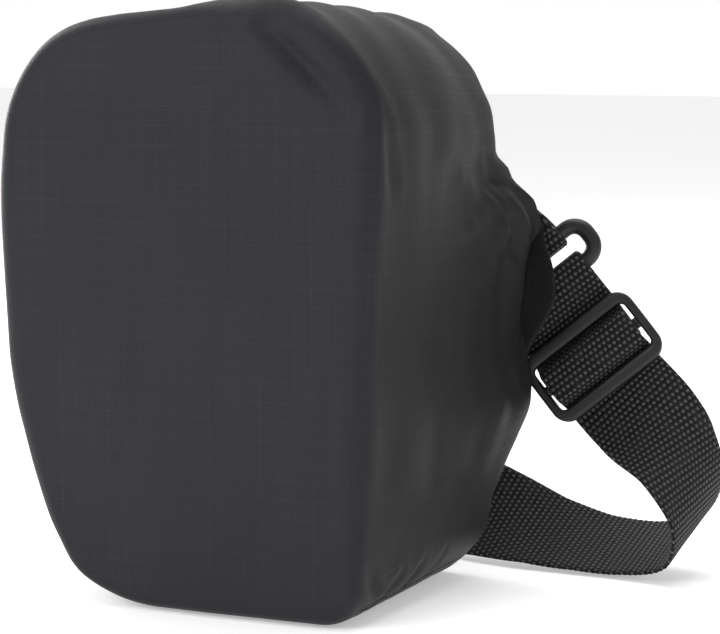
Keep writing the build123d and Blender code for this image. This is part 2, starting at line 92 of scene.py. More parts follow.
# ---------------------------------------------------------------- shader arithmetic
class Signal:
    """A shader socket that Python arithmetic works on."""

    def __init__(self, tree, socket):
        self.tree = tree
        self.socket = socket

    def maths(self, operation, *terms):
        node = self.tree.nodes.new("ShaderNodeMath")
        node.operation = operation
        for place, term in zip(node.inputs, terms):
            if isinstance(term, Signal):
                self.tree.links.new(term.socket, place)
            else:
                place.default_value = term
        return Signal(self.tree, node.outputs[0])

    def __add__(self, other):
        return self.maths("ADD", self, other)

    __radd__ = __add__

    def __mul__(self, other):
        return self.maths("MULTIPLY", self, other)

    __rmul__ = __mul__

    def __sub__(self, other):
        return self.maths("SUBTRACT", self, other)

    def __rsub__(self, other):
        return self.maths("SUBTRACT", other, self)

    def __truediv__(self, other):
        return self.maths("DIVIDE", self, other)

    def __pow__(self, other):
        return self.maths("POWER", self, other)

    def __abs__(self):
        return self.maths("ABSOLUTE", self)

    def sine(self):
        return self.maths("SINE", self)

    def fraction(self):
        return self.maths("FRACT", self)

    def whole(self):
        return self.maths("FLOOR", self)

    def over(self, limit):
        return self.maths("GREATER_THAN", self, limit)

    def greater(self, other):
        return self.maths("MAXIMUM", self, other)


class Finish:
    """One procedural material: a Principled shader and the nodes that feed it."""

    def __init__(self, name, **constants):
        self.material = bpy.data.materials.new(name)
        self.material.use_nodes = True
        self.tree = self.material.node_tree
        self.shader = self.tree.nodes["Principled BSDF"]
        for socket, value in constants.items():
            self.shader.inputs[socket.replace("_", " ")].default_value = value

    def node(self, kind, settings=(), output=0, **sockets):
        """Any node: its settings first, then the values or links of its sockets."""
        made = self.tree.nodes.new("ShaderNode" + kind)
        for setting, value in dict(settings).items():
            if setting == "stops":
                self.set_stops(made.color_ramp, value)
            else:
                setattr(made, setting, value)
        for name, value in sockets.items():
            place = made.inputs[int(name[1:])] if name[1:].isdigit() else made.inputs[name.replace("_", " ")]
            if isinstance(value, Signal):
                self.tree.links.new(value.socket, place)
            else:
                place.default_value = value
        return Signal(self.tree, made.outputs[output])

    def set_stops(self, ramp, stops):
        while len(ramp.elements) < len(stops):
            ramp.elements.new(0.5)
        for element, (place, shade) in zip(ramp.elements, stops):
            element.position = place
            element.color = (shade, shade, shade, 1)

    def feed(self, **signals):
        for name, signal in signals.items():
            self.tree.links.new(signal.socket, self.shader.inputs[name.replace("_", " ")])
        return self.material

    def place(self):
        return self.node("TexCoord", output=3)

    def cut(self):
        """Place on the flat cloth that the piece was cut from: across it and along it."""
        cloth = self.node("Attribute", {"attribute_name": "cut"}, output=1)
        return self.split(cloth)

    def split(self, vector):
        axes = self.node("SeparateXYZ", i0=vector)
        return [Signal(self.tree, axes.socket.node.outputs[axis]) for axis in range(3)]

    def join(self, x, y, z):
        return self.node("CombineXYZ", i0=x, i1=y, i2=z)

    def noise(self, vector, scale, detail=4.0, roughness=0.55):
        return self.node("TexNoise", i0=vector, Scale=scale, Detail=detail, Roughness=roughness)

    def mix(self, factor, first, second, blend="MIX"):
        settings = {"data_type": "RGBA", "blend_type": blend}
        return self.node("Mix", settings, output=2, i0=factor, i6=first, i7=second)

    def ramp(self, signal, *stops):
        return self.node("ValToRGB", {"stops": stops}, i0=signal)

    def bump(self, height, distance, strength=1.0, under=None):
        sockets = {"Height": height, "Distance": distance, "Strength": strength}
        if under is not None:
            sockets["Normal"] = under
        return self.node("Bump", **sockets)


def shade(red, green, blue):
    """A colour given as screen values from 0 to 255."""
    linear = []
    for value in (red, green, blue):
        part = value / 255
        linear.append(part / 12.92 if part <= 0.04045 else ((part + 0.055) / 1.055) ** 2.4)
    return (*linear, 1.0)


def stripe(signal, pitch, width):
    """1 on a narrow line at each pitch, 0 between, with soft sides."""
    distance = abs((signal / pitch).fraction() - 0.5)
    return (1 - distance * (2 * pitch / width)).greater(0.0)


# ---------------------------------------------------------------- finishes
def ripstop_finish(name, face, shadow, warmth):
    """Coated ripstop nylon: a fine plain weave with doubled threads in a small grid."""
    grid_pitch = mm(6.2)
    thread_width = mm(0.55)
    weave_pitch = mm(0.42)
    finish = Finish(name, IOR=1.45, Specular_IOR_Level=0.22, Sheen_Weight=0.02, Sheen_Roughness=0.4)
    across, along, lift = finish.cut()
    cloth = finish.join(across, along, lift)
    wander = finish.noise(cloth, 90.0, 2.0) - 0.5
    threads_across = stripe(across + wander * mm(0.5), grid_pitch, thread_width)
    threads_along = stripe(along + wander * mm(0.5), grid_pitch, thread_width)
    worn = finish.noise(cloth, 45.0, 5.0)
    grid = threads_across.greater(threads_along) * finish.ramp(worn, (0.35, 0.15), (0.65, 1.0))
    warp = (across * (2 * math.pi / weave_pitch)).sine()
    weft = (along * (2 * math.pi / weave_pitch)).sine()
    slub_across = finish.noise(finish.join(across * 9.0, along * 1300.0, lift), 1.0, 2.0)
    slub_along = finish.noise(finish.join(across * 1300.0, along * 9.0, lift), 1.0, 2.0)
    slubs = slub_across + slub_along - 1.0
    weave = warp * weft * 0.5 + 0.5
    patches = finish.ramp(finish.noise(cloth, 14.0, 3.0), (0.3, 0.0), (0.7, 1.0))
    colour = finish.mix(patches, face, warmth)
    colour = finish.mix(finish.ramp(finish.noise(cloth, 6.0, 2.0), (0.4, 0.0), (0.75, 0.6)), colour, shadow)
    colour = finish.mix(grid * 0.07, colour, shade(86, 86, 89))
    colour = finish.mix((slubs * 0.42 + weave * 0.04).greater(0.0), colour, shade(62, 61, 65))
    roughness = 0.52 + patches * 0.08 - grid * 0.10 + slubs * 0.15
    height = weave * 0.25 + grid * 0.55 + slubs * 0.5
    normal = finish.bump(height, mm(0.09), 0.8)
    return finish.feed(Base_Color=colour, Roughness=roughness, Normal=normal)


def webbing_finish(name, light, dark):
    """Ribbed nylon webbing: rows of short crossing yarns; the bead crowns carry a painted highlight and the
    gaps between them painted shade.
    """
    bead_pitch = mm(1.9)
    finish = Finish(name, IOR=1.46, Specular_IOR_Level=0.25, Sheen_Weight=0.04, Sheen_Roughness=0.4)
    across, along, lift = finish.cut()
    row = (along / RIB_PITCH).whole()
    crown = ((along / RIB_PITCH).fraction() * math.pi).sine()
    stagger = (row * 0.5).fraction()
    bead = abs(((across / bead_pitch + stagger).fraction() * math.pi).sine())
    yarn = finish.noise(finish.join(across * 500.0, along * 2600.0, lift), 1.0, 3.0)
    fuzz = finish.noise(finish.join(across, along, lift), 160.0, 4.0)
    top = crown * bead ** 0.6
    # Painted highlight on the tops of the beads, painted shade in the dark gaps between them.
    painted_bead_highlight = finish.ramp(top * (0.72 + yarn * 0.5), (0.52, 0.0), (0.98, 1.0))
    colour = finish.mix(painted_bead_highlight, dark, light)
    colour = finish.mix(finish.ramp(fuzz, (0.45, 0.0), (0.8, 0.5)), colour, shade(44, 43, 42))
    roughness = 0.62 - painted_bead_highlight * 0.16 + yarn * 0.1
    normal = finish.bump(top + yarn * 0.25, mm(0.32), 1.0)
    return finish.feed(Base_Color=colour, Roughness=roughness, Normal=normal)


def moulded_finish(name, colour, shine):
    """Satin moulded nylon with a fine spark-eroded grain and scattered rubbed patches."""
    finish = Finish(name, IOR=1.5, Specular_IOR_Level=0.42)
    place = finish.place()
    grain = finish.noise(place, 2600.0, 3.0)
    handled = finish.noise(place, 55.0, 4.0)
    scuff = finish.ramp(finish.noise(place, 240.0, 6.0, 0.7), (0.58, 0.0), (0.74, 1.0))
    shade_of = finish.mix(handled * 0.5, colour, shade(30, 31, 30))
    shade_of = finish.mix(scuff * 0.35, shade_of, shade(52, 52, 50))
    roughness = shine + handled * 0.16 + scuff * 0.2
    normal = finish.bump(grain, mm(0.03), 0.5)
    return finish.feed(Base_Color=shade_of, Roughness=roughness, Normal=normal)


ripstop_front = ripstop_finish("ripstop_front", shade(35, 34, 39), shade(27, 27, 31), shade(39, 38, 42))
# Painted shade: the band round the sides and top takes this darker, warmer copy of the front's ripstop.
ripstop_painted_shade_side = ripstop_finish("ripstop_painted_shade_side", shade(31, 29, 30), shade(24, 22, 24), shade(35, 32, 31))
# 88 is the painted highlight on the bead crowns, 8 the painted shade in the gaps.
ribbed_webbing = webbing_finish("ribbed_webbing", shade(88, 88, 88), shade(8, 8, 8))
moulded_nylon = moulded_finish("moulded_nylon", shade(22, 23, 22), 0.34)


# ---------------------------------------------------------------- mesh helpers
def piece(name, verts, faces, materials, body=None, smooth=True):
    """A mesh object, on its body and with its finish."""
    mesh = bpy.data.meshes.new(name)
    mesh.from_pydata([tuple(vert) for vert in verts], [], faces)
    mesh.validate()
    made = bpy.data.objects.new(name, mesh)
    bpy.context.scene.collection.objects.link(made)
    for material in materials:
        mesh.materials.append(material)
    if smooth:
        mesh.polygons.foreach_set("use_smooth", [True] * len(mesh.polygons))
    if body:
        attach(made, body)
    return made


def set_cut(made, places):
    """Give each face corner its place on the flat cloth; places holds one list per face."""
    attribute = made.data.attributes.new("cut", "FLOAT_VECTOR", "CORNER")
    flat = []
    for corners in places:
        for across, along in corners:
            flat.extend((across, along, 0.0))
    attribute.data.foreach_set("vector", flat)


def refine(made, levels):
    """Apply Catmull-Clark subdivision."""
    surface = made.modifiers.new("subdivision", "SUBSURF")
    surface.levels = levels
    surface.render_levels = levels
    apply_modifiers(made)


def apply_modifiers(made):
    """Bake the modifiers into the mesh."""
    graph = bpy.context.evaluated_depsgraph_get()
    baked = bpy.data.meshes.new_from_object(made.evaluated_get(graph), depsgraph=graph)
    made.modifiers.clear()
    old = made.data
    made.data = baked
    bpy.data.meshes.remove(old)


def spline_points(name, points, steps=12):
    """Points along the smooth line that the route's points control, from end to end."""
    line = bpy.data.curves.new(name, "CURVE")
    line.dimensions = "3D"
    spline = line.splines.new("NURBS")
    spline.points.add(len(points) - 1)
    for control, place in zip(spline.points, points):
        control.co = (*place, 1.0)
    spline.order_u = 3
    spline.use_endpoint_u = True
    spline.resolution_u = steps
    holder = bpy.data.objects.new(name, line)
    bpy.context.scene.collection.objects.link(holder)
    bpy.context.view_layer.update()
    mesh = bpy.data.meshes.new_from_object(holder)
    found = [vert.co.copy() for vert in mesh.vertices]
    bpy.data.meshes.remove(mesh)
    bpy.data.objects.remove(holder)
    bpy.data.curves.remove(line)
    return found


def lengths_along(points):
    """Distance from the first point to each."""
    steps = np.linalg.norm(np.diff(np.array(points), axis=0), axis=1)
    return np.concatenate([[0.0], np.cumsum(steps)])


def webbing_band(name, route, width, thickness, finish, start_along=0.0, ribs=0.17, columns=20,
                 pitch=RIB_PITCH, rib_steps=4):
    """Ribbed webbing along a route of (place, direction of its width)."""
    line = spline_points(name + "_line", [place for place, across in route])
    spans = len(route) - 2
    knots = [0.0] + [0.5 + span for span in range(spans)] + [float(spans)]
    shares = np.linspace(0.0, spans, len(line))
    widths = np.array([tuple(across) for place, across in route])
    turned = np.stack([np.interp(shares, knots, widths[:, axis]) for axis in range(3)], axis=1)
    travelled = lengths_along(line)
    total = travelled[-1]
    stations = max(int(total / pitch * rib_steps), 8)
    marks = np.linspace(0.0, total, stations + 1)
    centre = np.stack([np.interp(marks, travelled, np.array(line)[:, axis]) for axis in range(3)], axis=1)
    across = np.stack([np.interp(marks, travelled, turned[:, axis]) for axis in range(3)], axis=1)
    tangent = np.gradient(centre, axis=0)
    tangent /= np.linalg.norm(tangent, axis=1)[:, None]
    across -= tangent * np.sum(across * tangent, axis=1)[:, None]
    across /= np.linalg.norm(across, axis=1)[:, None]
    face = np.cross(tangent, across)
    swell = 1 - ribs + ribs * np.cos(2 * math.pi * (marks + start_along) / pitch)
    outline = webbing_outline(width, thickness, columns)
    verts = []
    for station in range(len(marks)):
        for side, lift in outline:
            verts.append(centre[station] + across[station] * side + face[station] * lift * swell[station])
    faces, places = [], []
    around = len(outline)
    girth = [side for side, lift in outline]
    for station in range(len(marks) - 1):
        for spot in range(around):
            following = (spot + 1) % around
            corner = [(station, spot), (station + 1, spot), (station + 1, following), (station, following)]
            faces.append([row * around + column for row, column in corner])
            places.append([(girth[column], marks[row] + start_along) for row, column in corner])
    faces.append(list(range(around)))
    places.append([(side, 0.0) for side in girth])
    faces.append([(len(marks) - 1) * around + spot for spot in reversed(range(around))])
    places.append([(side, 0.0) for side in reversed(girth)])
    made = piece(name, verts, faces, [finish])
    set_cut(made, places)
    return made, [tuple(place) for place in centre[::rib_steps]], total


def webbing_outline(width, thickness, columns):
    """Section of a woven band with rounded selvedges: (across, lift) in order round it."""
    half = width / 2
    lift = thickness / 2
    inner = half - lift * 0.8
    top = [(inner - 2 * inner * step / columns, lift) for step in range(columns + 1)]
    bottom = [(-side, -height) for side, height in top]
    return top + [(-half, 0.0)] + bottom + [(half, 0.0)]


# ---------------------------------------------------------------- the ring and slider plane
SLIDER_CENTRE = mm(93.1, 67.5, 75.8)
BAR = Vector((0.735, 0.25, 0.63)).normalized()
FACE = Vector((0.21, -0.967, 0.14)).normalized()
FACE = (FACE - BAR * FACE.dot(BAR)).normalized()
UP = FACE.cross(BAR)


def at_slider(up, out, along=0.0):
    """A place given from the slider's centre: up the strap, out of its face, along its bars."""
    return SLIDER_CENTRE + UP * mm(up) + FACE * mm(out) + BAR * mm(along)


# ---------------------------------------------------------------- shoulder strap
FOLD_LEVEL = 19.2
STANDING = (0.0, 0.0, 1.0)
through_slider = (
    (28.0, -3.9), (32.0, -3.9), (32.0, 3.9), (27.5, 3.9), (24.0, 3.6), (19.5, 0.6), (16.0, -3.0),
    (8.6, -3.0), (6.6, 0.2), (5.0, 4.2), (1.8, 4.5), (-1.8, 4.5), (-5.0, 4.2), (-6.8, 0.2), (-8.6, -3.0),
    (-15.0, -3.0),
)
loop_route = (
    ((111.0, 69.5, 56.5), (0.69, 0.38, 0.62)),
    ((125.5, 67.0, 43.5), (0.42, 0.82, 0.38)),
    ((131.5, 71.5, 26.5), (0.16, 0.93, 0.34)),
    ((125.0, 77.5, 11.5), (0.04, 0.92, 0.38)),
    ((107.5, 80.0, 7.4), (0.02, 0.94, 0.34)),
    ((88.5, 80.5, 7.9), (0.04, 0.93, 0.37)),
    ((70.0, 80.5, 11.0), (0.03, 0.86, 0.51)),
    ((52.0, 80.5, 15.4), (0.02, 0.66, 0.75)),
    ((33.0, 82.5, FOLD_LEVEL), (0.0, 0.30, 0.95)),
)
fold_route = (
    (14.0, 84.0), (-10.0, 85.9), (-36.0, 84.5), (-60.0, 86.0), (-77.0, 84.5), (-87.0, 88.0), (-87.0, 97.5),
    (-76.0, 101.0), (-52.0, 99.5), (-26.0, 101.5), (0.0, 99.5), (22.0, 101.0), (33.0, 104.0), (33.0, 113.0),
    (22.0, 116.5), (-2.0, 115.0), (-27.0, 117.0), (-53.0, 115.0), (-76.0, 116.5), (-87.0, 120.0),
    (-87.0, 129.0), (-76.0, 132.0), (-52.0, 130.5), (-28.0, 132.5), (-6.0, 131.0), (11.0, 132.5),
    (20.0, 136.5), (19.0, 145.5), (8.0, 148.5), (-14.0, 146.5), (-40.0, 148.5), (-66.0, 146.5),
    (-86.0, 148.0), (-99.0, 145.0), (-105.0, 136.0), (-105.3, 122.0),
)
rise_route = (
    ((-105.6, 108.0, FOLD_LEVEL), (-0.06, 0.0, 1.00)),
    ((-102.5, 95.0, 22.5), (-0.25, 0.0, 0.97)),
    ((-96.5, 84.5, 32.0), (-0.45, 0.0, 0.89)),
    ((-88.0, 77.0, 45.5), (-0.58, 0.05, 0.81)),
    ((-77.5, 71.5, 61.0), (-0.68, 0.10, 0.73)),
    ((-65.0, 67.5, 77.0), (-0.73, 0.12, 0.68)),
    ((-51.5, 63.5, 92.0), (-0.75, 0.10, 0.65)),
    ((-39.0, 58.5, 105.0), (-0.76, 0.05, 0.65)),
    ((-29.0, 50.6, 114.0), (-0.76, 0.00, 0.65)),
    ((-16.0, 50.5, 129.2), (-0.76, 0.00, 0.65)),
)
strap_route = [(at_slider(up, out), BAR) for up, out in through_slider]
strap_route += [(mm(*place), across) for place, across in loop_route]
strap_route += [(mm(x, y, FOLD_LEVEL), STANDING) for x, y in fold_route]
strap_route += [(mm(*place), across) for place, across in rise_route]
shoulder_strap, strap_line, strap_length = webbing_band(
    "shoulder_strap", strap_route, WEBBING_WIDTH, WEBBING_THICKNESS, ribbed_webbing
)
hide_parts("strap_threaded", "strap_loop", "strap_folds", "strap_rise")

# The strap's sewn end comes back behind the ring and round the slider's middle bar.
end_wrap = (
    (31.4, -2.6), (30.0, -3.9), (24.0, -4.3), (15.0, -5.2), (9.0, -5.2), (5.6, -4.6), (0.0, -3.3),
    (-3.4, -3.3), (-3.4, 0.0), (-3.4, 3.1), (0.0, 3.1), (3.4, 3.1), (3.4, 0.0), (3.4, -2.4),
)
strap_end, _, _ = webbing_band(
    "strap_end_wrap", [(at_slider(up, out), BAR) for up, out in end_wrap], WEBBING_WIDTH - mm(0.6),
    WEBBING_THICKNESS * 0.9, ribbed_webbing, start_along=mm(0.7),
)
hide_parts("strap_end")
at_slider(26.0, 0.0)
at_slider(6.0, 0.0)
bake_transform(strap_end)


# ---------------------------------------------------------------- three-bar strap slider
def rounded_frame(half_width, half_height, corner, steps=8):
    """Corner points of a rounded rectangle, anticlockwise."""
    points = []
    for quarter, (right, up) in enumerate(((1, 1), (-1, 1), (-1, -1), (1, -1))):
        middle = (right * (half_width - corner), up * (half_height - corner))
        for step in range(steps + 1):
            angle = math.radians(90 * (quarter + step / steps))
            points.append((middle[0] + corner * math.cos(angle), middle[1] + corner * math.sin(angle)))
    return points


def moulded_bar_frame():
    """Slider frame: an outer rim swept round, crowned on both faces, and a ridged middle bar."""
    outer = rounded_frame(23.0, 14.0, 6.5)
    inner = rounded_frame(19.75, 8.8, 2.0)
    profile = ((0.0, 0.55), (0.10, 0.86), (0.30, 1.0), (0.70, 1.0), (0.90, 0.86), (1.0, 0.55))
    section = [(share, height) for share, height in profile]
    section += [(share, -height) for share, height in reversed(profile)]
    verts, faces = [], []
    for (ox, oy), (ix, iy) in zip(outer, inner):
        for share, height in section:
            verts.append(at_slider(oy + (iy - oy) * share, 1.8 * height, ox + (ix - ox) * share))
    around = len(section)
    count = len(outer)
    for spot in range(count):
        following = (spot + 1) % count
        for step in range(around):
            after = (step + 1) % around
            faces.append([spot * around + step, following * around + step,
                          following * around + after, spot * around + after])
    bar_ends = 20.6
    bar_steps = 64
    bar_section = 16
    base = len(verts)
    for step in range(bar_steps + 1):
        along = bar_ends * (2 * step / bar_steps - 1)
        ridge = 0.12 * math.cos(step * math.pi)
        for spot in range(bar_section):
            angle = 2 * math.pi * spot / bar_section
            lift = math.copysign(abs(math.sin(angle)) ** 0.6, math.sin(angle))
            side = math.copysign(abs(math.cos(angle)) ** 0.6, math.cos(angle))
            verts.append(at_slider(2.0 * side, (1.4 + ridge) * lift, along))
    for step in range(bar_steps):
        for spot in range(bar_section):
            after = (spot + 1) % bar_section
            row = base + step * bar_section
            faces.append([row + spot, row + bar_section + spot, row + bar_section + after, row + after])
    faces.append([base + spot for spot in range(bar_section)])
    faces.append([base + bar_steps * bar_section + spot for spot in reversed(range(bar_section))])
    made = piece("slider_frame", verts, faces, [moulded_nylon], "strap_slider")
    refine(made, 1)
    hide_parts("strap_slider")
    return made


slider_frame = moulded_bar_frame()
leaves_slider = at_slider(-15.0, -3.0)
leaves_slider + mm(-25.5, 0, -25.5)
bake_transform(shoulder_strap)
tuple(strap_line[0])
mm(38.0)


# ---------------------------------------------------------------- outline shared by the bag and its cover
SLOPE = (TOP_HALF_WIDTH - BOTTOM_HALF_WIDTH) / (BAG_TOP - BAG_BASE)
LEAN = math.atan(SLOPE)
ARC_LOW, SIDE_RUN, ARC_HIGH = 16, 34, 18
FLAT_RUN = 40
SIDE_ROWS = ARC_LOW + SIDE_RUN + ARC_HIGH


def side_line(low_radius, high_radius, grow):
    """One side of the outline, from the flat base to the flat top: (x, z) and normals."""
    corners = []
    for radius, level in ((low_radius, BAG_BASE + low_radius), (high_radius, BAG_TOP - high_radius)):
        reach = BOTTOM_HALF_WIDTH + SLOPE * (level - BAG_BASE) - radius / math.cos(LEAN)
        corners.append((reach, level, radius))
    turns = (
        [-90 + (90 - math.degrees(LEAN)) * step / ARC_LOW for step in range(ARC_LOW + 1)],
        [-math.degrees(LEAN) + (90 + math.degrees(LEAN)) * step / ARC_HIGH for step in range(ARC_HIGH + 1)],
    )
    arcs = []
    for (reach, level, radius), angles in zip(corners, turns):
        arc = []
        for angle in angles:
            normal = (math.cos(math.radians(angle)), math.sin(math.radians(angle)))
            arc.append((reach + (radius + grow) * normal[0], level + (radius + grow) * normal[1], *normal))
        arcs.append(np.array(arc))
    low, high = arcs
    straight = [low[-1] + (high[0] - low[-1]) * step / SIDE_RUN for step in range(1, SIDE_RUN)]
    return np.concatenate([low, straight, high])


def outline_loop(grow, low_right=BOTTOM_CORNER, low_left=BOTTOM_CORNER, high=TOP_CORNER):
    """The whole outline as (x, z, normal x, normal z): base to the right, up, over the top, down."""
    right = side_line(low_right, high, grow)
    left = side_line(low_left, high, grow)
    left[:, 0] *= -1
    left[:, 2] *= -1
    shares = np.linspace(0, 1, FLAT_RUN + 1)[:, None]
    base = left[0] + (right[0] - left[0]) * shares
    top = right[-1] + (left[-1] - right[-1]) * shares
    return np.concatenate([base[:-1], right[:-1], top[:-1], left[:0:-1]])


LOOP = 2 * (FLAT_RUN + SIDE_ROWS)


def ease(value, low, high):
    """0 below low, 1 above high, smooth between."""
    share = np.clip((value - low) / (high - low), 0.0, 1.0)
    return share * share * (3 - 2 * share)


def hump(value, middle, spread):
    return np.exp(-((value - middle) / spread) ** 2)


def waves(values, pitch, seed, count=5):
    """Uneven waves of about one pitch, the same each run."""
    draw = np.random.default_rng(seed)
    total = np.zeros_like(values)
    for _ in range(count):
        length = pitch * draw.uniform(0.7, 1.5)
        total += np.sin(2 * math.pi * values / length + draw.uniform(0, 2 * math.pi))
    return total / math.sqrt(count)


# ---------------------------------------------------------------- how the soft bag settles
# Drop of the top towards the front and towards the rear, by place across; millimetres.
FRONT_TOP_DROP = ((-66, 0.3), (-58, 1.2), (-48, 2.8), (-43, 3.6), (-33, 4.4), (-20, 3.2), (0, 1.2), (28, 0.8),
                  (68, 1.2))
REAR_TOP_DROP = ((-66, 0.3), (-50, 0.6), (-22, 1.0), (-11, 2.2), (-4, 4.8), (10, 4.5), (25, 3.2), (31, 3.6),
                 (36, 4.4), (45, 4.5), (60, 3.0))
# Inward sag of the left side at the front, and of the right side and back at the rear, by height.
LEFT_SAG = ((-1, 0.0), (4, 0.0), (10, 0.0), (15, 1.6), (22, 3.4), (30, 4.0), (37, 4.0), (45, 3.0), (52, 2.1),
            (62, 1.0), (80, 0.0), (140, 0.0), (157, 0.6), (165, 1.0), (172, 1.5), (180, 2.0), (190, 2.4))
REAR_SIDE_SAG = ((118, 0.0), (130, 0.8), (137, 1.8), (150, 2.2), (160, 2.6), (170, 3.2), (185, 3.4),
                 (197, 3.2))
REAR_DEPTH_SAG = ((118, 0.0), (130, 0.8), (140, 2.2), (150, 2.0), (160, 1.8), (170, 2.6), (185, 3.2),
                  (197, 3.2))
# Outward push of the loose cover at the right rear, by height.
COVER_BULGE = ((22, 0.0), (35, 1.0), (45, 2.2), (52, 3.2), (60, 4.9), (67, 3.9), (75, 1.8), (84, 0.0))


def by_table(values, table):
    """Read a table of (place, amount) at many places."""
    return np.interp(values, [place for place, _ in table], [amount for _, amount in table])


def settled(points, loose=False):
    """Points of the soft bag or its cover after the stuffing has settled; millimetres."""
    x, y, z = points[..., 0], points[..., 1], points[..., 2]
    rear = ease(y, -10.0, 30.0)
    high = ease(z, 128.0, 178.0)
    drop = (by_table(x, FRONT_TOP_DROP) * (1 - rear) + by_table(x, REAR_TOP_DROP) * rear) * high
    left = by_table(z, LEFT_SAG) * ease(-x, 8.0, 42.0) * (1 - 0.75 * ease(y, -32.0, 20.0))
    side = by_table(z, REAR_SIDE_SAG) * ease(x, 30.0, 56.0) * ease(y, 0.0, 34.0)
    depth = by_table(z, REAR_DEPTH_SAG) * ease(x, 36.0, 56.0) * ease(y, 18.0, 42.0)
    push = np.zeros_like(x)
    if loose:
        push = by_table(z, COVER_BULGE) * ease(x, 40.0, 62.0) * ease(y, 6.0, 38.0)
    return np.stack([x + left - side + push, y - depth + 0.8 * push * ease(y, 30.0, 50.0), z - drop], axis=-1)


def settle(*pieces):
    """Settle finished pieces of the bag."""
    for made in pieces:
        places = np.empty(len(made.data.vertices) * 3)
        made.data.vertices.foreach_get("co", places)
        moved = settled(places.reshape(-1, 3) * 1000) / 1000
        made.data.vertices.foreach_set("co", moved.ravel())
        made.data.update()


# ---------------------------------------------------------------- rain cover
# Hem of the right side where it is pushed out round the strap ring. For each height:
# the crest of the side, the valley behind it and the free rim, as (how far out, how far back).
HEM_LOBES = (
    (62, (5.6, 58.0), (4.5, 60.0), (2.0, 61.0), (-2.0, 60.5)),
    (72, (5.0, 56.5), (4.0, 58.5), (5.5, 58.5), (5.5, 57.0)),
    (80, (4.6, 57.0), (3.2, 59.8), (8.0, 59.6), (12.0, 57.4)),
    (92, (4.4, 57.5), (2.4, 61.4), (10.5, 61.0), (17.6, 58.6)),
    (103, (4.6, 58.5), (2.2, 61.4), (10.0, 61.6), (16.6, 60.0)),
    (112, (6.4, 61.5), (5.0, 63.2), (9.0, 63.2), (12.6, 61.8)),
    (120, (8.8, 62.0), (9.6, 63.0), (10.2, 63.4), (10.6, 63.2)),
    (129, (6.6, 56.5), (7.6, 58.2), (8.2, 59.2), (8.4, 60.0)),
    (135, (2.8, 52.5), (3.6, 54.8), (3.6, 56.4), (2.6, 57.6)),
    (141, (0.8, 50.0), (1.6, 52.2), (1.2, 54.2), (-0.6, 55.6)),
)


def lobe_at(level):
    """Crest, valley, middle and rim of the hem lobes at a height, and how much they count there."""
    heights = [row[0] for row in HEM_LOBES]
    found = []
    for column in range(1, 5):
        found.append([np.interp(level, heights, [row[column][axis] for row in HEM_LOBES]) for axis in (0, 1)])
    weight = float(ease(level, 52, 66) * (1 - ease(level, 140, 149)))
    return found, weight


def rear_profile(z, normal_x, travelled):
    """Section of the cover's band and hem at one place of the outline, as (grow, y) in millimetres."""
    right = normal_x > 0.5
    left = normal_x < -0.5
    fill = float(hump(z, 58, 34)) * (1.0 if right else 0.55)
    bulge = 5.6 * fill * (right or left)
    turn = 13.0 - 5.0 * float(hump(z, 55, 50))
    rear = 52.3 + (5.5 * float(hump(z, 52, 26)) if right else 2.0 * float(hump(z, 60, 40)))
    gather = float(waves(np.array([travelled]), 17.0, 5)[0])
    small = float(waves(np.array([travelled]), 8.0, 9)[0])
    plain = [
        (0.0, -45.5),
        (0.1 + bulge * 0.10, -25.0),
        (0.2 + bulge * 0.32, 0.0),
        (bulge * 0.70, 22.0),
        (bulge * 0.95, rear - turn - 4.0),
        (bulge - turn * 0.10 + gather * 0.3, rear - turn * 0.45),
        (bulge - turn * 0.38 + gather * 0.5, rear - turn * 0.10),
        (bulge - turn * 0.80, rear + 0.5 + gather * 0.6),
        (-turn - 1.0, rear + 1.0 + gather * 1.2 + small * 0.4),
        (-turn - 4.5, rear + 1.1 + gather * 1.5 + small * 0.9),
        (-turn - 8.0, rear + 0.6 + gather * 1.1 + small * 1.2),
    ]
    if not right:
        return plain
    (crest, valley, middle, rim), weight = lobe_at(z)
    inner = 56.6 if z > 100 else 55.5
    pushed = [
        (0.0, -45.5),
        (0.1 + bulge * 0.10, -25.0),
        (0.2 + bulge * 0.32, 0.0),
        (bulge * 0.62, 22.0),
        ((crest[0] + bulge) * 0.42, 40.0),
        (crest[0] * 0.86, crest[1] - 7.0),
        tuple(crest),
        tuple(valley),
        tuple(middle),
        tuple(rim),
        (rim[0] * 0.4 - 4.0, max(rim[1] + 0.6, inner + 3.0)),
    ]
    pushed_tail = [(-9.0, inner + 1.0), (-13.0, inner - 0.4), (-17.0, inner - 1.2)]
    plain_tail = [
        (-turn - 9.0, rear + 0.5 + gather),
        (-turn - 10.0, rear + 0.4 + gather),
        (-turn - 11.0, rear + 0.3),
    ]
    both = []
    for (g0, y0), (g1, y1) in zip(plain + plain_tail, pushed + pushed_tail):
        both.append((g0 + (g1 - g0) * weight, y0 + (y1 - y0) * weight))
    return both


def smooth_row(points, count):
    """A soft curve through a row of points, resampled evenly."""
    points = np.array(points, float)
    padded = np.vstack([2 * points[0] - points[1], points, 2 * points[-1] - points[-2]])
    dense = []
    for index in range(1, len(padded) - 2):
        before, start, end, after = padded[index - 1:index + 3]
        for step in range(8):
            share = step / 8
            dense.append(0.5 * (2 * start + (end - before) * share
                                + (2 * before - 5 * start + 4 * end - after) * share ** 2
                                + (3 * start - before - 3 * end + after) * share ** 3))
    dense.append(points[-1])
    dense = np.array(dense)
    travelled = lengths_along(dense)
    marks = np.linspace(0, travelled[-1], count)
    return np.stack([np.interp(marks, travelled, dense[:, axis]) for axis in range(dense.shape[1])], axis=1)


EDGE_ROUND = 8.0
EDGE_DEPTH = 7.0
EDGE_STEPS = 7
FRONT_RIGHT_CORNER = mm(11.0)
FRONT_LEFT_CORNER = mm(47.0)
BAND_STEPS = 62


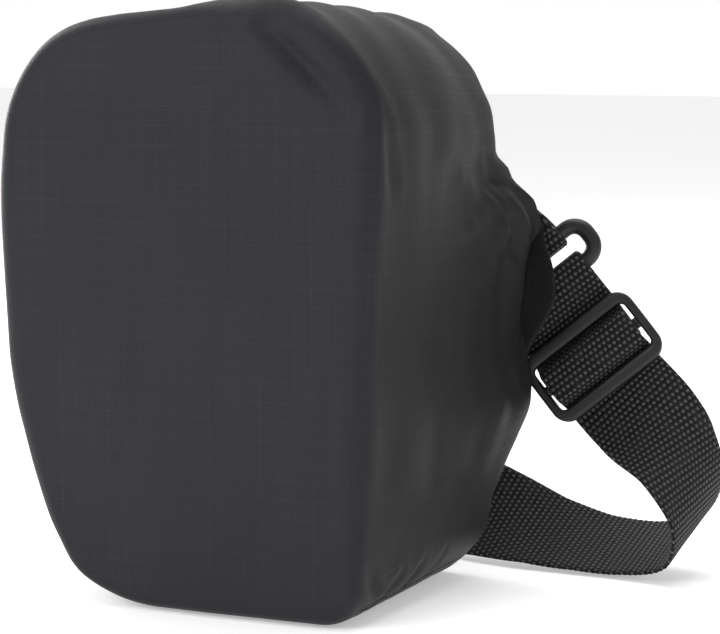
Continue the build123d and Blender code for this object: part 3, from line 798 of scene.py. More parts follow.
def side_dents(y, z):
    """Folds of the right side, in millimetres along its normal."""
    total = 0.55 * waves(y + 0.05 * z, 23.0, 21) * ease(z, 25, 60) * (1 - ease(z, 150, 175))
    total += -4.0 * hump(y + 0.5 * (z - 137.5), 43.0, 5.5) * hump(z - 0.25 * (y - 41), 137.5, 2.4)
    total += 1.9 * hump(y, 50.0, 6.0) * hump(z, 142.5, 3.4)
    spread = np.arctan2(z - 137.0, y - 44.0)
    away = np.hypot(y - 44.0, z - 137.0)
    pleat = 1 - 2 * np.abs(np.sin(4.5 * spread + 0.05 * away + 0.6)) ** 0.7
    total += 1.7 * pleat * ease(away, 3.0, 12.0) * (1 - ease(away, 26.0, 60.0)) * ease(150 - z, 0, 14)
    total += 1.1 * hump(y, 38.0, 11.0) * hump(z, 129.5, 5.0)
    for (y0, z0), (y1, z1), depth, width in (
        ((47.0, 123.0), (48.5, 115.5), 2.6, 1.5),
        ((48.0, 116.0), (31.0, 103.0), 1.6, 1.4),
        ((49.0, 115.0), (56.0, 108.0), 1.3, 1.4),
        ((57.0, 135.0), (30.0, 126.0), 0.6, 3.5),
        ((54.0, 66.0), (20.0, 71.0), 0.6, 1.8),
        ((-47.0, 18.0), (-34.0, 6.0), 1.6, 2.0),
        ((-20.0, 13.0), (-34.0, 3.0), 1.2, 1.7),
        ((-4.0, 14.0), (-16.0, 3.0), 1.1, 1.6),
        ((14.0, 15.0), (2.0, 4.0), 0.6, 1.8),
        ((-50.0, 168.0), (-40.0, 140.0), 1.2, 3.0),
        ((-30.0, 150.0), (-24.0, 60.0), 0.9, 6.0),
        ((2.0, 140.0), (-2.0, 40.0), 0.8, 5.0),
        ((30.0, 112.0), (24.0, 48.0), 1.0, 4.5),
        ((44.0, 104.0), (40.0, 60.0), 1.1, 3.0),
        ((52.0, 96.0), (50.0, 66.0), 0.9, 2.0),
    ):
        run = np.array([y1 - y0, z1 - z0])
        share = np.clip(((y - y0) * run[0] + (z - z0) * run[1]) / (run @ run), 0, 1)
        away = np.hypot(y - y0 - share * run[0], z - z0 - share * run[1])
        taper = 1 - 0.5 * np.abs(2 * share - 1)
        total += -depth * np.exp(-(away / width) ** 2) * taper + 0.35 * depth * hump(away, 2.2 * width, width)
    return total


def front_dents(x, z):
    """Soft unevenness of the front panel, in millimetres towards the front."""
    total = 1.3 * (1 - (x / 70.0) ** 2) * np.sin(np.clip(z / 197.0, 0, 1) * math.pi)
    total += 0.5 * waves(x * 0.8 + z * 0.35, 58.0, 31) + 0.3 * waves(z - 0.4 * x, 41.0, 33)
    total += -2.8 * hump(x + 1.1 * (z - 172.0), 50.0, 4.5) * hump(z, 180.0, 17.0)
    total += 1.3 * hump(x + 1.1 * (z - 172.0), 38.0, 7.0) * hump(z, 180.0, 20.0)
    total += 0.28 * waves(x - 0.2 * z, 19.0, 35) * hump(z, 70.0, 60.0)
    total += -1.1 * hump(x + 0.5 * z, 58.0, 5.0) * hump(z, 9.0, 9.0)
    total += -0.8 * hump(x - z * 0.9, -52.0 - 12.0, 5.0) * hump(z, 24.0, 14.0)
    return total


def cover_rings():
    """Every ring of the cover from the front panel's edge to the hem, as arrays of LOOP places."""
    start = outline_loop(0.0, FRONT_RIGHT_CORNER, FRONT_LEFT_CORNER)
    travelled = lengths_along(np.vstack([start[:, :2], start[:1, :2]]))[:-1] * 1000
    rows = []
    for place, distance in zip(start, travelled):
        section = rear_profile(place[1] * 1000, place[2], distance)
        rows.append(smooth_row(section, BAND_STEPS))
    rows = np.array(rows)
    grow = COVER_GROW * 1000
    rings = []
    for step in range(EDGE_STEPS):
        angle = math.radians(90 * step / EDGE_STEPS)
        inset = EDGE_ROUND * (1 - math.sin(angle))
        depth = COVER_FRONT * 1000 + EDGE_DEPTH * (1 - math.cos(angle)) + 0.3
        ring = outline_loop(0.0, FRONT_RIGHT_CORNER, FRONT_LEFT_CORNER)
        reach = grow - inset * (0.4 + 0.6 * ease(ring[:, 1] * 1000, 4.0, 44.0))
        rings.append(np.column_stack([
            ring[:, 0] * 1000 + ring[:, 2] * reach,
            np.full(LOOP, depth),
            ring[:, 1] * 1000 + ring[:, 3] * reach,
        ]))
    for step in range(BAND_STEPS):
        station = rows[:, step]
        back = float(np.clip((np.median(station[:, 1]) + 44.0) / 96.0, 0, 1))
        ring = outline_loop(0.0, FRONT_RIGHT_CORNER + mm(11.0) * back, FRONT_LEFT_CORNER - mm(4.0) * back)
        reach = grow + station[:, 0]
        rings.append(np.column_stack([
            ring[:, 0] * 1000 + ring[:, 2] * reach, station[:, 1], ring[:, 1] * 1000 + ring[:, 3] * reach,
        ]))
    rings = np.array(rings)
    normals = start[:, 2:4]
    right = np.clip(normals[:, 0], 0, 1) ** 2
    for index in range(EDGE_STEPS - 1, len(rings)):
        ring = rings[index]
        lift = side_dents(ring[:, 1], ring[:, 2]) * right * ease(ring[:, 1], -50, -42)
        top = np.clip(normals[:, 1], 0, 1) ** 2
        lift += top * (0.5 * waves(ring[:, 1] + 0.3 * ring[:, 0], 26.0, 41) + 0.2)
        left = np.clip(-normals[:, 0], 0, 1) ** 2
        lift += left * 0.6 * waves(ring[:, 1] * 1.1 + 0.1 * ring[:, 2], 24.0, 43)
        ring[:, 0] += normals[:, 0] * lift
        ring[:, 2] += normals[:, 1] * lift
    ridge = 1.6 * hump(rings[:, :, 1], -43.0, 6.0)
    ridge = ridge * ease(rings[:, :, 0], -8, 12) * (1 - ease(rings[:, :, 0], 36, 52))
    rings[:, :, 2] += ridge * np.clip(normals[:, 1], 0, 1)
    swell = 4.2 * ease(rings[:, :, 2], 34, 88) * (1 - ease(rings[:, :, 2], 120, 178)) + 0.9
    swell *= 1 - 0.6 * ease(rings[:, :, 1], -30, 45)
    rings[:, :, 0] -= swell * np.clip(-normals[:, 0], 0, 1)
    rings = settled(rings, loose=True)
    rings[:, :, 2] = np.maximum(rings[:, :, 2], 0.25)
    return rings / 1000, travelled / 1000


cover_grid, cover_girth = cover_rings()


def sewn_cover():
    """The whole cover as one sheet: front panel, band, base and gathered hem."""
    first = cover_grid[0]
    verts = [tuple(place) for ring in cover_grid for place in ring]
    right_of = [FLAT_RUN + row for row in range(SIDE_ROWS + 1)]
    left_of = [0] + [LOOP - row for row in range(1, SIDE_ROWS + 1)]
    index = {}
    for row in range(SIDE_ROWS + 1):
        for column in range(FLAT_RUN + 1):
            if row == 0:
                index[row, column] = column
            elif row == SIDE_ROWS:
                index[row, column] = right_of[row] + FLAT_RUN - column
            elif column == 0:
                index[row, column] = left_of[row]
            elif column == FLAT_RUN:
                index[row, column] = right_of[row]
            else:
                share = column / FLAT_RUN
                place = first[left_of[row]] * (1 - share) + first[right_of[row]] * share
                index[row, column] = len(verts)
                verts.append(tuple(place))
    verts = np.array(verts)
    panel = sorted(set(index.values()))
    lift = front_dents(verts[panel, 0] * 1000, verts[panel, 2] * 1000)
    verts[panel, 1] -= lift / 1000
    for ring in range(1, EDGE_STEPS + 6):
        fade = 1 - ease(float(ring), 0, EDGE_STEPS + 6)
        spots = range(ring * LOOP, (ring + 1) * LOOP)
        verts[spots, 1] -= fade * front_dents(first[:, 0] * 1000, first[:, 2] * 1000) / 1000
    faces, places, finish_of = [], [], []
    for row in range(SIDE_ROWS):
        for column in range(FLAT_RUN):
            corner = [(row, column), (row, column + 1), (row + 1, column + 1), (row + 1, column)]
            spots = [index[spot] for spot in corner]
            faces.append(spots)
            places.append([(verts[spot][0], verts[spot][2]) for spot in spots])
            finish_of.append(0)
    depth = np.zeros(len(cover_grid))
    half_way = FLAT_RUN + ARC_LOW + SIDE_RUN // 2
    for ring in range(1, len(cover_grid)):
        step = cover_grid[ring][half_way] - cover_grid[ring - 1][half_way]
        depth[ring] = depth[ring - 1] + np.linalg.norm(step)
    total = float(cover_girth[-1] + np.linalg.norm(first[-1] - first[0]))
    for ring in range(len(cover_grid) - 1):
        for spot in range(LOOP):
            following = (spot + 1) % LOOP
            after = cover_girth[following] if following else total
            faces.append([ring * LOOP + spot, (ring + 1) * LOOP + spot,
                          (ring + 1) * LOOP + following, ring * LOOP + following])
            places.append([(depth[ring], cover_girth[spot]), (depth[ring + 1], cover_girth[spot]),
                           (depth[ring + 1], after), (depth[ring], after)])
            # the band rings take the painted-shade ripstop copy, the front panel and its rounded edge the
            # front one
            finish_of.append(0 if ring < EDGE_STEPS else 1)
    made = piece("rain_cover", verts, faces, [ripstop_front, ripstop_painted_shade_side])
    made.data.polygons.foreach_set("material_index", finish_of)
    set_cut(made, places)
    return made


rain_cover = sewn_cover()
refine(rain_cover, 1)
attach(rain_cover, "rain_cover")
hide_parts("cover_front", "cover_base", "cover_band", "cover_hem")
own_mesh(rain_cover)

# ---------------------------------------------------------------- closed pads, tubes and stitches
def closed_pad(name, outer, inner, finish, body):
    """A closed sewn pad from two grids of points with the same rows and columns."""
    outer = np.array(outer, float)
    inner = np.array(inner, float)
    rows, columns = outer.shape[:2]
    verts = list(outer.reshape(-1, 3)) + list(inner.reshape(-1, 3))
    offset = rows * columns
    across = np.zeros((rows, columns))
    along = np.zeros((rows, columns))
    across[:, 1:] = np.cumsum(np.linalg.norm(np.diff(outer, axis=1), axis=2), axis=1)
    along[1:] = np.cumsum(np.linalg.norm(np.diff(outer, axis=0), axis=2), axis=0)
    flat = [(across.flat[spot], along.flat[spot]) for spot in range(offset)] * 2
    faces = []
    for row in range(rows - 1):
        for column in range(columns - 1):
            corner = [row * columns + column, row * columns + column + 1,
                      (row + 1) * columns + column + 1, (row + 1) * columns + column]
            faces.append(corner)
            faces.append([spot + offset for spot in reversed(corner)])
    rim = list(range(columns))
    rim += [row * columns + columns - 1 for row in range(1, rows)]
    rim += [(rows - 1) * columns + column for column in range(columns - 2, -1, -1)]
    rim += [row * columns for row in range(rows - 2, 0, -1)]
    for spot, following in zip(rim, rim[1:] + rim[:1]):
        faces.append([following, spot, spot + offset, following + offset])
    made = piece(name, verts, faces, [finish])
    set_cut(made, [[flat[spot] for spot in corner] for corner in faces])
    face_outwards(made)
    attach(made, body)
    return made


def face_outwards(made):
    """Turn every face of a closed mesh outwards."""
    shell = bmesh.new()
    shell.from_mesh(made.data)
    bmesh.ops.recalc_face_normals(shell, faces=shell.faces)
    shell.to_mesh(made.data)
    shell.free()


def tube(name, path, radius, finish, body=None, sides=10, closed=False, twist=0.0):
    """A round cord along a row of points."""
    path = np.array(path, float)
    tangent = np.roll(path, -1, axis=0) - np.roll(path, 1, axis=0) if closed else np.gradient(path, axis=0)
    tangent /= np.linalg.norm(tangent, axis=1)[:, None]
    side = np.cross(tangent[0], (0.31, 0.17, 0.93))
    verts, travelled = [], lengths_along(path)
    for place, heading, distance in zip(path, tangent, travelled):
        side = side - heading * np.dot(side, heading)
        side /= np.linalg.norm(side)
        lift = np.cross(heading, side)
        for spot in range(sides):
            angle = 2 * math.pi * spot / sides + twist * distance
            verts.append(place + radius * (side * math.cos(angle) + lift * math.sin(angle)))
    faces, places = [], []
    count = len(path)
    girth = 2 * math.pi * radius / sides
    for row in range(count if closed else count - 1):
        after = (row + 1) % count
        for spot in range(sides):
            following = (spot + 1) % sides
            faces.append([row * sides + spot, after * sides + spot, after * sides + following,
                          row * sides + following])
            reach = travelled[row] + np.linalg.norm(path[after] - path[row])
            places.append([(girth * spot, travelled[row]), (girth * spot, reach),
                           (girth * (spot + 1), reach), (girth * (spot + 1), travelled[row])])
    if not closed:
        for ring, order in ((0, range(sides)), (count - 1, reversed(range(sides)))):
            faces.append([ring * sides + spot for spot in order])
            places.append([(0.0, travelled[ring])] * sides)
    made = piece(name, verts, faces, [finish], body)
    set_cut(made, places)
    face_outwards(made)
    return made


def along_row(mark, travelled, values):
    """Values of a row of points or directions at one distance along it."""
    return np.array([np.interp(mark, travelled, values[:, axis]) for axis in range(3)])


def stitches(name, rows, finish, body, slot, pitch=mm(3.0), radius=mm(0.32)):
    """Rows of sewn stitches: each row is points on the cloth and the cloth's outward direction there."""
    verts, faces = [], []
    sides, steps = 6, 5
    share, sink = 0.68, 0.65
    for points, normals in rows:
        points = np.array(points, float)
        normals = np.array(normals, float)
        travelled = lengths_along(points)
        count = int(travelled[-1] / pitch)
        for number in range(count):
            marks = [(number + 0.16 + share * step / steps) * pitch for step in range(steps + 1)]
            base = len(verts)
            for step, mark in enumerate(marks):
                place = along_row(mark, travelled, points)
                ahead = along_row(mark + pitch * 0.2, travelled, points)
                out = along_row(mark, travelled, normals)
                out /= max(np.linalg.norm(out), 1e-9)
                heading = ahead - place
                if np.linalg.norm(heading) < 1e-9:
                    heading = points[-1] - points[-2]
                across = np.cross(heading, out)
                across /= max(np.linalg.norm(across), 1e-9)
                swell = math.sin(math.pi * (0.12 + 0.76 * step / steps))
                centre = place + out * radius * (swell - sink)
                for spot in range(sides):
                    angle = 2 * math.pi * spot / sides
                    verts.append(centre + radius * swell * (across * math.cos(angle) + out * math.sin(angle)))
            for step in range(steps):
                for spot in range(sides):
                    following = (spot + 1) % sides
                    row = base + step * sides
                    faces.append([row + spot, row + sides + spot, row + sides + following, row + following])
            faces.append([base + spot for spot in range(sides)])
            faces.append([base + steps * sides + spot for spot in reversed(range(sides))])
    made = piece(name, verts, faces, [finish])
    face_outwards(made)
    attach(made, body)
    return made


# ---------------------------------------------------------------- more finishes
def woven_finish(name, light, dark, pitch, gloss=0.62, relief=mm(0.22)):
    """Plain-woven nylon with basket-weave yarns of one pitch, lint and rubbed patches."""
    finish = Finish(name, IOR=1.46, Specular_IOR_Level=0.28, Sheen_Weight=0.05, Sheen_Roughness=0.5)
    across, along, lift = finish.cut()
    column = (across / pitch).whole()
    row = (along / pitch).whole()
    over = (((column + row) * 0.5).fraction() * 2.0).over(0.5)
    warp = abs(((across / pitch).fraction() * math.pi).sine())
    weft = abs(((along / pitch).fraction() * math.pi).sine())
    yarn = over * warp + (1 - over) * weft
    cloth = finish.join(across, along, lift)
    fibre = finish.noise(finish.join(across * 900.0, along * 900.0, lift), 1.0, 3.0)
    rubbed = finish.ramp(finish.noise(cloth, 32.0, 5.0), (0.45, 0.0), (0.72, 1.0))
    colour = finish.mix(yarn * 0.7 + fibre * 0.2, dark, light)
    colour = finish.mix(rubbed * 0.25, colour, light)
    roughness = gloss + fibre * 0.12 - rubbed * 0.08
    return finish.feed(Base_Color=colour, Roughness=roughness,
                       Normal=finish.bump(yarn + fibre * 0.3, relief, 0.9))


def ribbed_finish(name, light, dark, pitch, gloss=0.6, relief=mm(0.2)):
    """Narrow ribbed goods such as tape, grosgrain, elastic and thread."""
    finish = Finish(name, IOR=1.46, Specular_IOR_Level=0.28, Sheen_Weight=0.05, Sheen_Roughness=0.5)
    across, along, lift = finish.cut()
    rib = abs(((along / pitch).fraction() * math.pi).sine())
    fibre = finish.noise(finish.join(across * 1500.0, along * 1500.0, lift), 1.0, 3.0)
    lint = finish.noise(finish.place(), 85.0, 5.0)
    colour = finish.mix(rib * 0.75 + fibre * 0.2, dark, light)
    colour = finish.mix(finish.ramp(lint, (0.5, 0.0), (0.8, 0.4)), colour, light)
    roughness = gloss + fibre * 0.15
    return finish.feed(Base_Color=colour, Roughness=roughness,
                       Normal=finish.bump(rib + fibre * 0.3, relief, 0.9))


def thread_finish(name, light, dark):
    """Twisted sewing thread."""
    finish = Finish(name, IOR=1.46, Specular_IOR_Level=0.3)
    place = finish.place()
    ply = finish.node("TexWave", {"bands_direction": "DIAGONAL"}, output=1, i0=place, Scale=900.0,
                      Distortion=1.5, Detail=2.0)
    colour = finish.mix(ply, dark, light)
    return finish.feed(Base_Color=colour, Roughness=0.5 + ply * 0.2, Normal=finish.bump(ply, mm(0.08), 0.8))


def metal_finish(name, coat, bare):
    """Painted zinc with fine scratches through to the bare metal."""
    finish = Finish(name, IOR=1.5)
    place = finish.place()
    cast = finish.noise(place, 700.0, 3.0)
    scratch = finish.ramp(finish.noise(place, 420.0, 6.0, 0.75), (0.60, 0.0), (0.70, 1.0))
    colour = finish.mix(scratch, coat, bare)
    return finish.feed(Base_Color=colour, Metallic=0.25 + scratch * 0.7, Roughness=0.36 + cast * 0.15,
                       Normal=finish.bump(cast - scratch * 0.4, mm(0.04), 0.6))


def board_finish(name, light, dark):
    """Stiff sheet with a pressed pinhead grain."""
    finish = Finish(name, IOR=1.5, Specular_IOR_Level=0.35)
    place = finish.place()
    cells = finish.node("TexVoronoi", {"feature": "DISTANCE_TO_EDGE"}, i0=place, Scale=620.0)
    stain = finish.noise(place, 40.0, 5.0)
    pit = finish.ramp(cells, (0.02, 0.0), (0.25, 1.0))
    return finish.feed(Base_Color=finish.mix(stain, dark, light), Roughness=0.5 + stain * 0.2,
                       Normal=finish.bump(pit, mm(0.12), 0.7))


pack_cloth = woven_finish("pack_cloth", shade(58, 58, 60), shade(20, 20, 21), mm(0.62))
lining_cloth = woven_finish("lining_cloth", shade(112, 112, 110), shade(74, 74, 73), mm(0.34), 0.5, mm(0.08))
piping_cloth = ribbed_finish("piping_cloth", shade(44, 44, 45), shade(18, 18, 18), mm(0.55), 0.45)
tape_cloth = ribbed_finish("tape_cloth", shade(40, 40, 41), shade(14, 14, 14), mm(0.6))
coil_nylon = ribbed_finish("coil_nylon", shade(52, 52, 53), shade(22, 22, 22), mm(1.2), 0.35, mm(0.05))
grosgrain = ribbed_finish("grosgrain", shade(46, 46, 47), shade(14, 14, 14), mm(0.9))
knit_elastic = ribbed_finish("knit_elastic", shade(48, 47, 47), shade(18, 18, 18), mm(0.8))
black_thread = thread_finish("black_thread", shade(34, 34, 34), shade(12, 12, 12))
grey_thread = thread_finish("grey_thread", shade(86, 85, 84), shade(48, 47, 46))
zip_paint = metal_finish("zip_paint", shade(28, 28, 29), shade(150, 150, 152))
stiff_board = board_finish("stiff_board", shade(52, 52, 52), shade(34, 34, 34))

for node, finish in (
    ("strap_ring", moulded_nylon),
    ("base_board", stiff_board),
    ("zip_slider_left", zip_paint),
    ("zip_slider_right", zip_paint),
    ("zip_pull_left", zip_paint),
    ("zip_pull_right", zip_paint),
):
    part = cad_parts[node]
    part.data.materials.clear()
    part.data.materials.append(finish)

# ---------------------------------------------------------------- padded bag body and lid
CAVITY_FRONT = BAG_FRONT + WALL
CAVITY_BACK = BAG_BACK - WALL
ZIP_LEVEL = (BODY_TOP + LID_BOTTOM) / 2
side_half = side_line(BOTTOM_CORNER, TOP_CORNER, 0.0)
side_levels = side_half[:, 1]


def side_between(low, high, count):
    """The right side between two heights, evenly stepped: (x, z, normal x, normal z)."""
    travelled = lengths_along(side_half[:, :2])
    start = np.interp(low, side_levels, travelled)
    end = np.interp(high, side_levels, travelled)
    marks = np.linspace(start, end, count)
    return np.stack([np.interp(marks, travelled, side_half[:, axis]) for axis in range(4)], axis=1)


PAD_CROWN = mm(5.0)
SEAM_SINK = mm(3.0)
GUSSET_SINK = mm(1.9)


def crown(distance):
    """0 at a seam, 1 well inside it."""
    return 1 - np.exp(-np.maximum(distance, 0.0) / PAD_CROWN)


def faced_panel(name, node, low, high, level, inward, body):
    """A padded panel in the front or back face between two heights; inward is +1 for the front."""
    rows = side_between(low, high, 56)
    columns = 44
    outer, inner = [], []
    length = lengths_along(rows[:, :2])
    for spot, (half, z, _, _) in enumerate(rows):
        outer_row, inner_row = [], []
        for column in range(columns + 1):
            across = 2 * column / columns - 1
            x = across * (half - mm(0.4))
            seam = min((1 - abs(across)) * half, length[spot] + mm(0.5), length[-1] - length[spot] + mm(0.5))
            lift = crown(seam)
            drape = 0.00035 * math.sin(38 * x + 61 * z) * lift
            y = level + inward * (SEAM_SINK * (1 - lift) + drape)
            outer_row.append((x, y, z))
            inner_row.append((x * 0.985, level + inward * (WALL - mm(0.25)), z))
        outer.append(outer_row)
        inner.append(inner_row)
    made = closed_pad(name, outer, inner, pack_cloth, body)
    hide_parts(node)
    return made


def gusset_panel(name, node, stations, body):
    """A padded panel of the band between the faces, along outline stations (x, z, normal x, normal z)."""
    columns = 34
    outer, inner = [], []
    length = lengths_along(stations[:, :2])
    front, back = CAVITY_FRONT + mm(0.3), CAVITY_BACK - mm(0.3)
    for spot, (x, z, nx, nz) in enumerate(stations):
        outer_row, inner_row = [], []
        for column in range(columns + 1):
            y = front + (back - front) * column / columns
            seam = min(y - front, back - y, length[spot] + mm(1.2), length[-1] - length[spot] + mm(1.2))
            lift = crown(seam)
            drape = 0.0003 * math.sin(70 * y + 43 * z + 31 * x) * lift
            out = -GUSSET_SINK * (1 - lift) + drape - mm(0.1)
            outer_row.append((x + nx * out, y, z + nz * out))
            back_off = -(WALL - mm(0.25))
            inner_row.append((x + nx * back_off, y, z + nz * back_off))
        outer.append(outer_row)
        inner.append(inner_row)
    made = closed_pad(name, outer, inner, pack_cloth, body)
    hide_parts(node)
    return made


def mirrored(stations):
    """The same stations on the left side."""
    flipped = stations.copy()
    flipped[:, 0] *= -1
    flipped[:, 2] *= -1
    return flipped


corner_level = BAG_BASE + BOTTOM_CORNER
low_side = side_between(BAG_BASE, corner_level, 26)
base_stations = np.concatenate([
    mirrored(low_side)[::-1],
    [(x, BAG_BASE, 0.0, -1.0) for x in np.linspace(-low_side[0][0], low_side[0][0], 14)[1:-1]],
    low_side,
])
top_side = side_between(LID_BOTTOM, BAG_TOP, 30)
top_stations = np.concatenate([
    top_side,
    [(x, BAG_TOP, 0.0, 1.0) for x in np.linspace(top_side[-1][0], -top_side[-1][0], 16)[1:-1]],
    mirrored(top_side)[::-1],
])
upright = side_between(corner_level, BODY_TOP, 34)
faced_panel("front_pad", "front_panel", BAG_BASE, BODY_TOP, BAG_FRONT, 1, "bag")
faced_panel("back_pad", "back_panel", BAG_BASE, BODY_TOP, BAG_BACK, -1, "bag")
faced_panel("lid_front_pad", "lid_front", LID_BOTTOM, BAG_TOP, BAG_FRONT, 1, "lid")
faced_panel("lid_back_pad", "lid_back", LID_BOTTOM, BAG_TOP, BAG_BACK, -1, "lid")
gusset_panel("right_gusset_pad", "side_panel_right", upright, "bag")
gusset_panel("left_gusset_pad", "side_panel_left", mirrored(upright), "bag")
gusset_panel("base_pad", "base_panel", base_stations, "bag")
gusset_panel("lid_gusset_pad", "lid_top", top_stations, "lid")

body_outline = np.concatenate([mirrored(upright)[::-1], base_stations[1:-1], upright])


def piping(name, node, stations, body):
    """Covered cords sewn into the front and back seams."""
    inset = mm(0.6)
    cords = []
    for level, label in ((CAVITY_FRONT, "front"), (CAVITY_BACK, "back")):
        path = [(x + nx * inset, level, z + nz * inset) for x, z, nx, nz in stations]
        made = tube(f"{name}_{label}", path, mm(1.5), piping_cloth, body)
        cords.append(made)
    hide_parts(node)
    return cords


piping("body_cord", "body_piping", body_outline, "bag")
piping("lid_cord", "lid_piping", top_stations, "lid")


def lining(name, node, stations, body):
    """The thin inner bag: a gusset and two faces, one sheet with its seams turned out."""
    thick = mm(0.9)
    grow = -WALL - thick * 0.5
    front, back = CAVITY_FRONT + thick * 0.5, CAVITY_BACK - thick * 0.5
    verts, faces, places = [], [], []
    columns = 30
    length = lengths_along(stations[:, :2])
    for spot, (x, z, nx, nz) in enumerate(stations):
        for column in range(columns + 1):
            y = front + (back - front) * column / columns
            sag = 0.0003 * math.sin(90 * y + 50 * z)
            verts.append((x + nx * (grow - abs(sag)), y, z + nz * (grow - abs(sag))))
    for spot in range(len(stations) - 1):
        for column in range(columns):
            base = spot * (columns + 1) + column
            faces.append([base, base + 1, base + columns + 2, base + columns + 1])
            y0 = (back - front) * column / columns
            y1 = (back - front) * (column + 1) / columns
            z0, z1 = length[spot], length[spot + 1]
            places.append([(y0, z0), (y1, z0), (y1, z1), (y0, z1)])
    half = len(stations) // 2
    for level, flip in ((front, False), (back, True)):
        base = len(verts)
        count = half + 1
        across = 30
        for spot in range(count):
            first, second = stations[spot], stations[len(stations) - 1 - spot]
            p0 = np.array([first[0] + first[2] * grow, level, first[1] + first[3] * grow])
            p1 = np.array([second[0] + second[2] * grow, level, second[1] + second[3] * grow])
            for column in range(across + 1):
                verts.append(tuple(p0 + (p1 - p0) * column / across))
        for spot in range(count - 1):
            for column in range(across):
                near = base + spot * (across + 1) + column
                far = near + across + 1
                corner = [near, near + 1, far + 1, far]
                faces.append(corner[::-1] if flip else corner)
                places.append([(verts[used][0], verts[used][2]) for used in faces[-1]])
    made = piece(name, verts, faces, [lining_cloth])
    set_cut(made, places)
    sheet_form = bmesh.new()
    sheet_form.from_mesh(made.data)
    bmesh.ops.remove_doubles(sheet_form, verts=sheet_form.verts, dist=mm(0.05))
    bmesh.ops.recalc_face_normals(sheet_form, faces=sheet_form.faces)
    sheet_form.to_mesh(made.data)
    sheet_form.free()
    thicken = made.modifiers.new("cloth_thickness", "SOLIDIFY")
    thicken.thickness = thick
    thicken.offset = 0.0
    apply_modifiers(made)
    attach(made, body)
    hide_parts(node)
    return made


lining("body_lining", "body_liner", body_outline, "bag")
lining("lid_lining", "lid_liner", top_stations, "lid")

# ---------------------------------------------------------------- zip
zip_half = float(np.interp(ZIP_LEVEL, side_levels, side_half[:, 0]))
ZIP_END = CAVITY_BACK - WALL


def zip_route(inset):
    """Round the zip's three sides, from the right end to the left end: plan places at one inset."""
    side = zip_half - inset
    front = BAG_FRONT + inset
    bend = mm(7.0)
    right = [(side, ZIP_END), (side, ZIP_END - mm(28)), (side, mm(-12)), (side, front + 2 * bend),
             (side, front + bend * 0.35), (side - bend * 0.35, front), (side - 2 * bend, front),
             (mm(22), front)]
    return right + [(0.0, front)] + [(-x, y) for x, y in reversed(right)]


for half_name, side_sign in (("lower", -1), ("upper", 1)):
    body = "bag" if side_sign < 0 else "lid"
    tape_middle = ZIP_LEVEL + side_sign * mm(2.05)
    tape_route = [(Vector((x, y, tape_middle)), STANDING) for x, y in zip_route(mm(2.4))]
    tape, _, _ = webbing_band(
        f"{half_name}_tape_cloth", tape_route, mm(3.8), mm(0.7), tape_cloth,
        ribs=0.1, columns=4, pitch=mm(1.2), rib_steps=2,
    )
    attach(tape, body)
    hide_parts(f"{half_name}_zip_tape")
    coil_route = [Vector((x, y, ZIP_LEVEL)) for x, y in zip_route(mm(1.45))]
    line = np.array(spline_points("coil_line", coil_route, 40))
    travelled = lengths_along(line)
    turn_pitch = mm(1.3)
    turns = int(travelled[-1] / turn_pitch)
    marks = np.linspace(0, travelled[-1], turns * 8)
    run = np.stack([np.interp(marks, travelled, line[:, axis]) for axis in range(3)], axis=1)
    heading = np.gradient(run, axis=0)
    heading /= np.linalg.norm(heading, axis=1)[:, None]
    outward = np.cross(heading, (0.0, 0.0, 1.0))
    phase = 2 * math.pi * marks / turn_pitch + (0 if side_sign < 0 else math.pi)
    lift = side_sign * (mm(0.72) - mm(0.62) * np.cos(phase))
    helix = run + outward * (mm(0.34) * np.sin(phase))[:, None] + np.outer(lift, (0.0, 0.0, 1.0))
    coil = tube(f"{half_name}_coil_teeth", helix, mm(0.27), coil_nylon, body, sides=6)
    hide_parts(f"{half_name}_zip_coil")

# Cloth hinge across the back of the zip channel.
strip_low, strip_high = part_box("hinge_strip")
strip_outer, strip_inner = [], []
for row in range(17):
    z = strip_low[2] + (strip_high[2] - strip_low[2]) * row / 16
    swell = mm(0.25) * math.sin(math.pi * row / 16)
    line_out, line_in = [], []
    for column in range(61):
        x = strip_low[0] + (strip_high[0] - strip_low[0]) * column / 60
        line_out.append((x, strip_high[1] - mm(0.25) + swell, z))
        line_in.append((x, strip_low[1] + mm(0.05), z))
    strip_outer.append(line_out)
    strip_inner.append(line_in)
hinge_cloth = closed_pad("hinge_cloth", strip_outer, strip_inner, grosgrain, "bag")
hinge_cloth.parent = None
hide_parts("hinge_strip")
BODY_TOP + mm(0.8)
LID_BOTTOM - mm(0.8)
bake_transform(hinge_cloth)
strip_rows = []
for z in (strip_low[2] + mm(1.3), strip_low[2] + mm(2.8), strip_high[2] - mm(2.8), strip_high[2] - mm(1.3)):
    ends = strip_low[0] + mm(2), strip_high[0] - mm(2)
    run = [(x, strip_high[1] - mm(0.15), z) for x in np.linspace(*ends, 30)]
    strip_rows.append((run, [(0, 1, 0)] * len(run)))
stitches("hinge_stitches_low", strip_rows[:2], grey_thread, "bag", "zip_tape")
stitches("hinge_stitches_high", strip_rows[2:], grey_thread, "lid", "zip_tape")

# ---------------------------------------------------------------- seams of the bag
for label, stations, body in (("body", body_outline, "bag"), ("lid", top_stations, "lid")):
    rows = []
    for level, inward in ((BAG_FRONT, 1), (BAG_BACK, -1)):
        run = [(x - nx * mm(4.2), level + inward * mm(1.15), z - nz * mm(4.2)) for x, z, nx, nz in stations]
        rows.append((run, [(0, -inward, 0)] * len(run)))
    for level in (CAVITY_FRONT + mm(3.4), CAVITY_BACK - mm(3.4)):
        run = [(x - nx * mm(0.85), level, z - nz * mm(0.85)) for x, z, nx, nz in stations]
        rows.append((run, [(nx, 0, nz) for x, z, nx, nz in stations]))
    stitches(f"{label}_topstitch", rows, grey_thread, body, "bag_fabric")

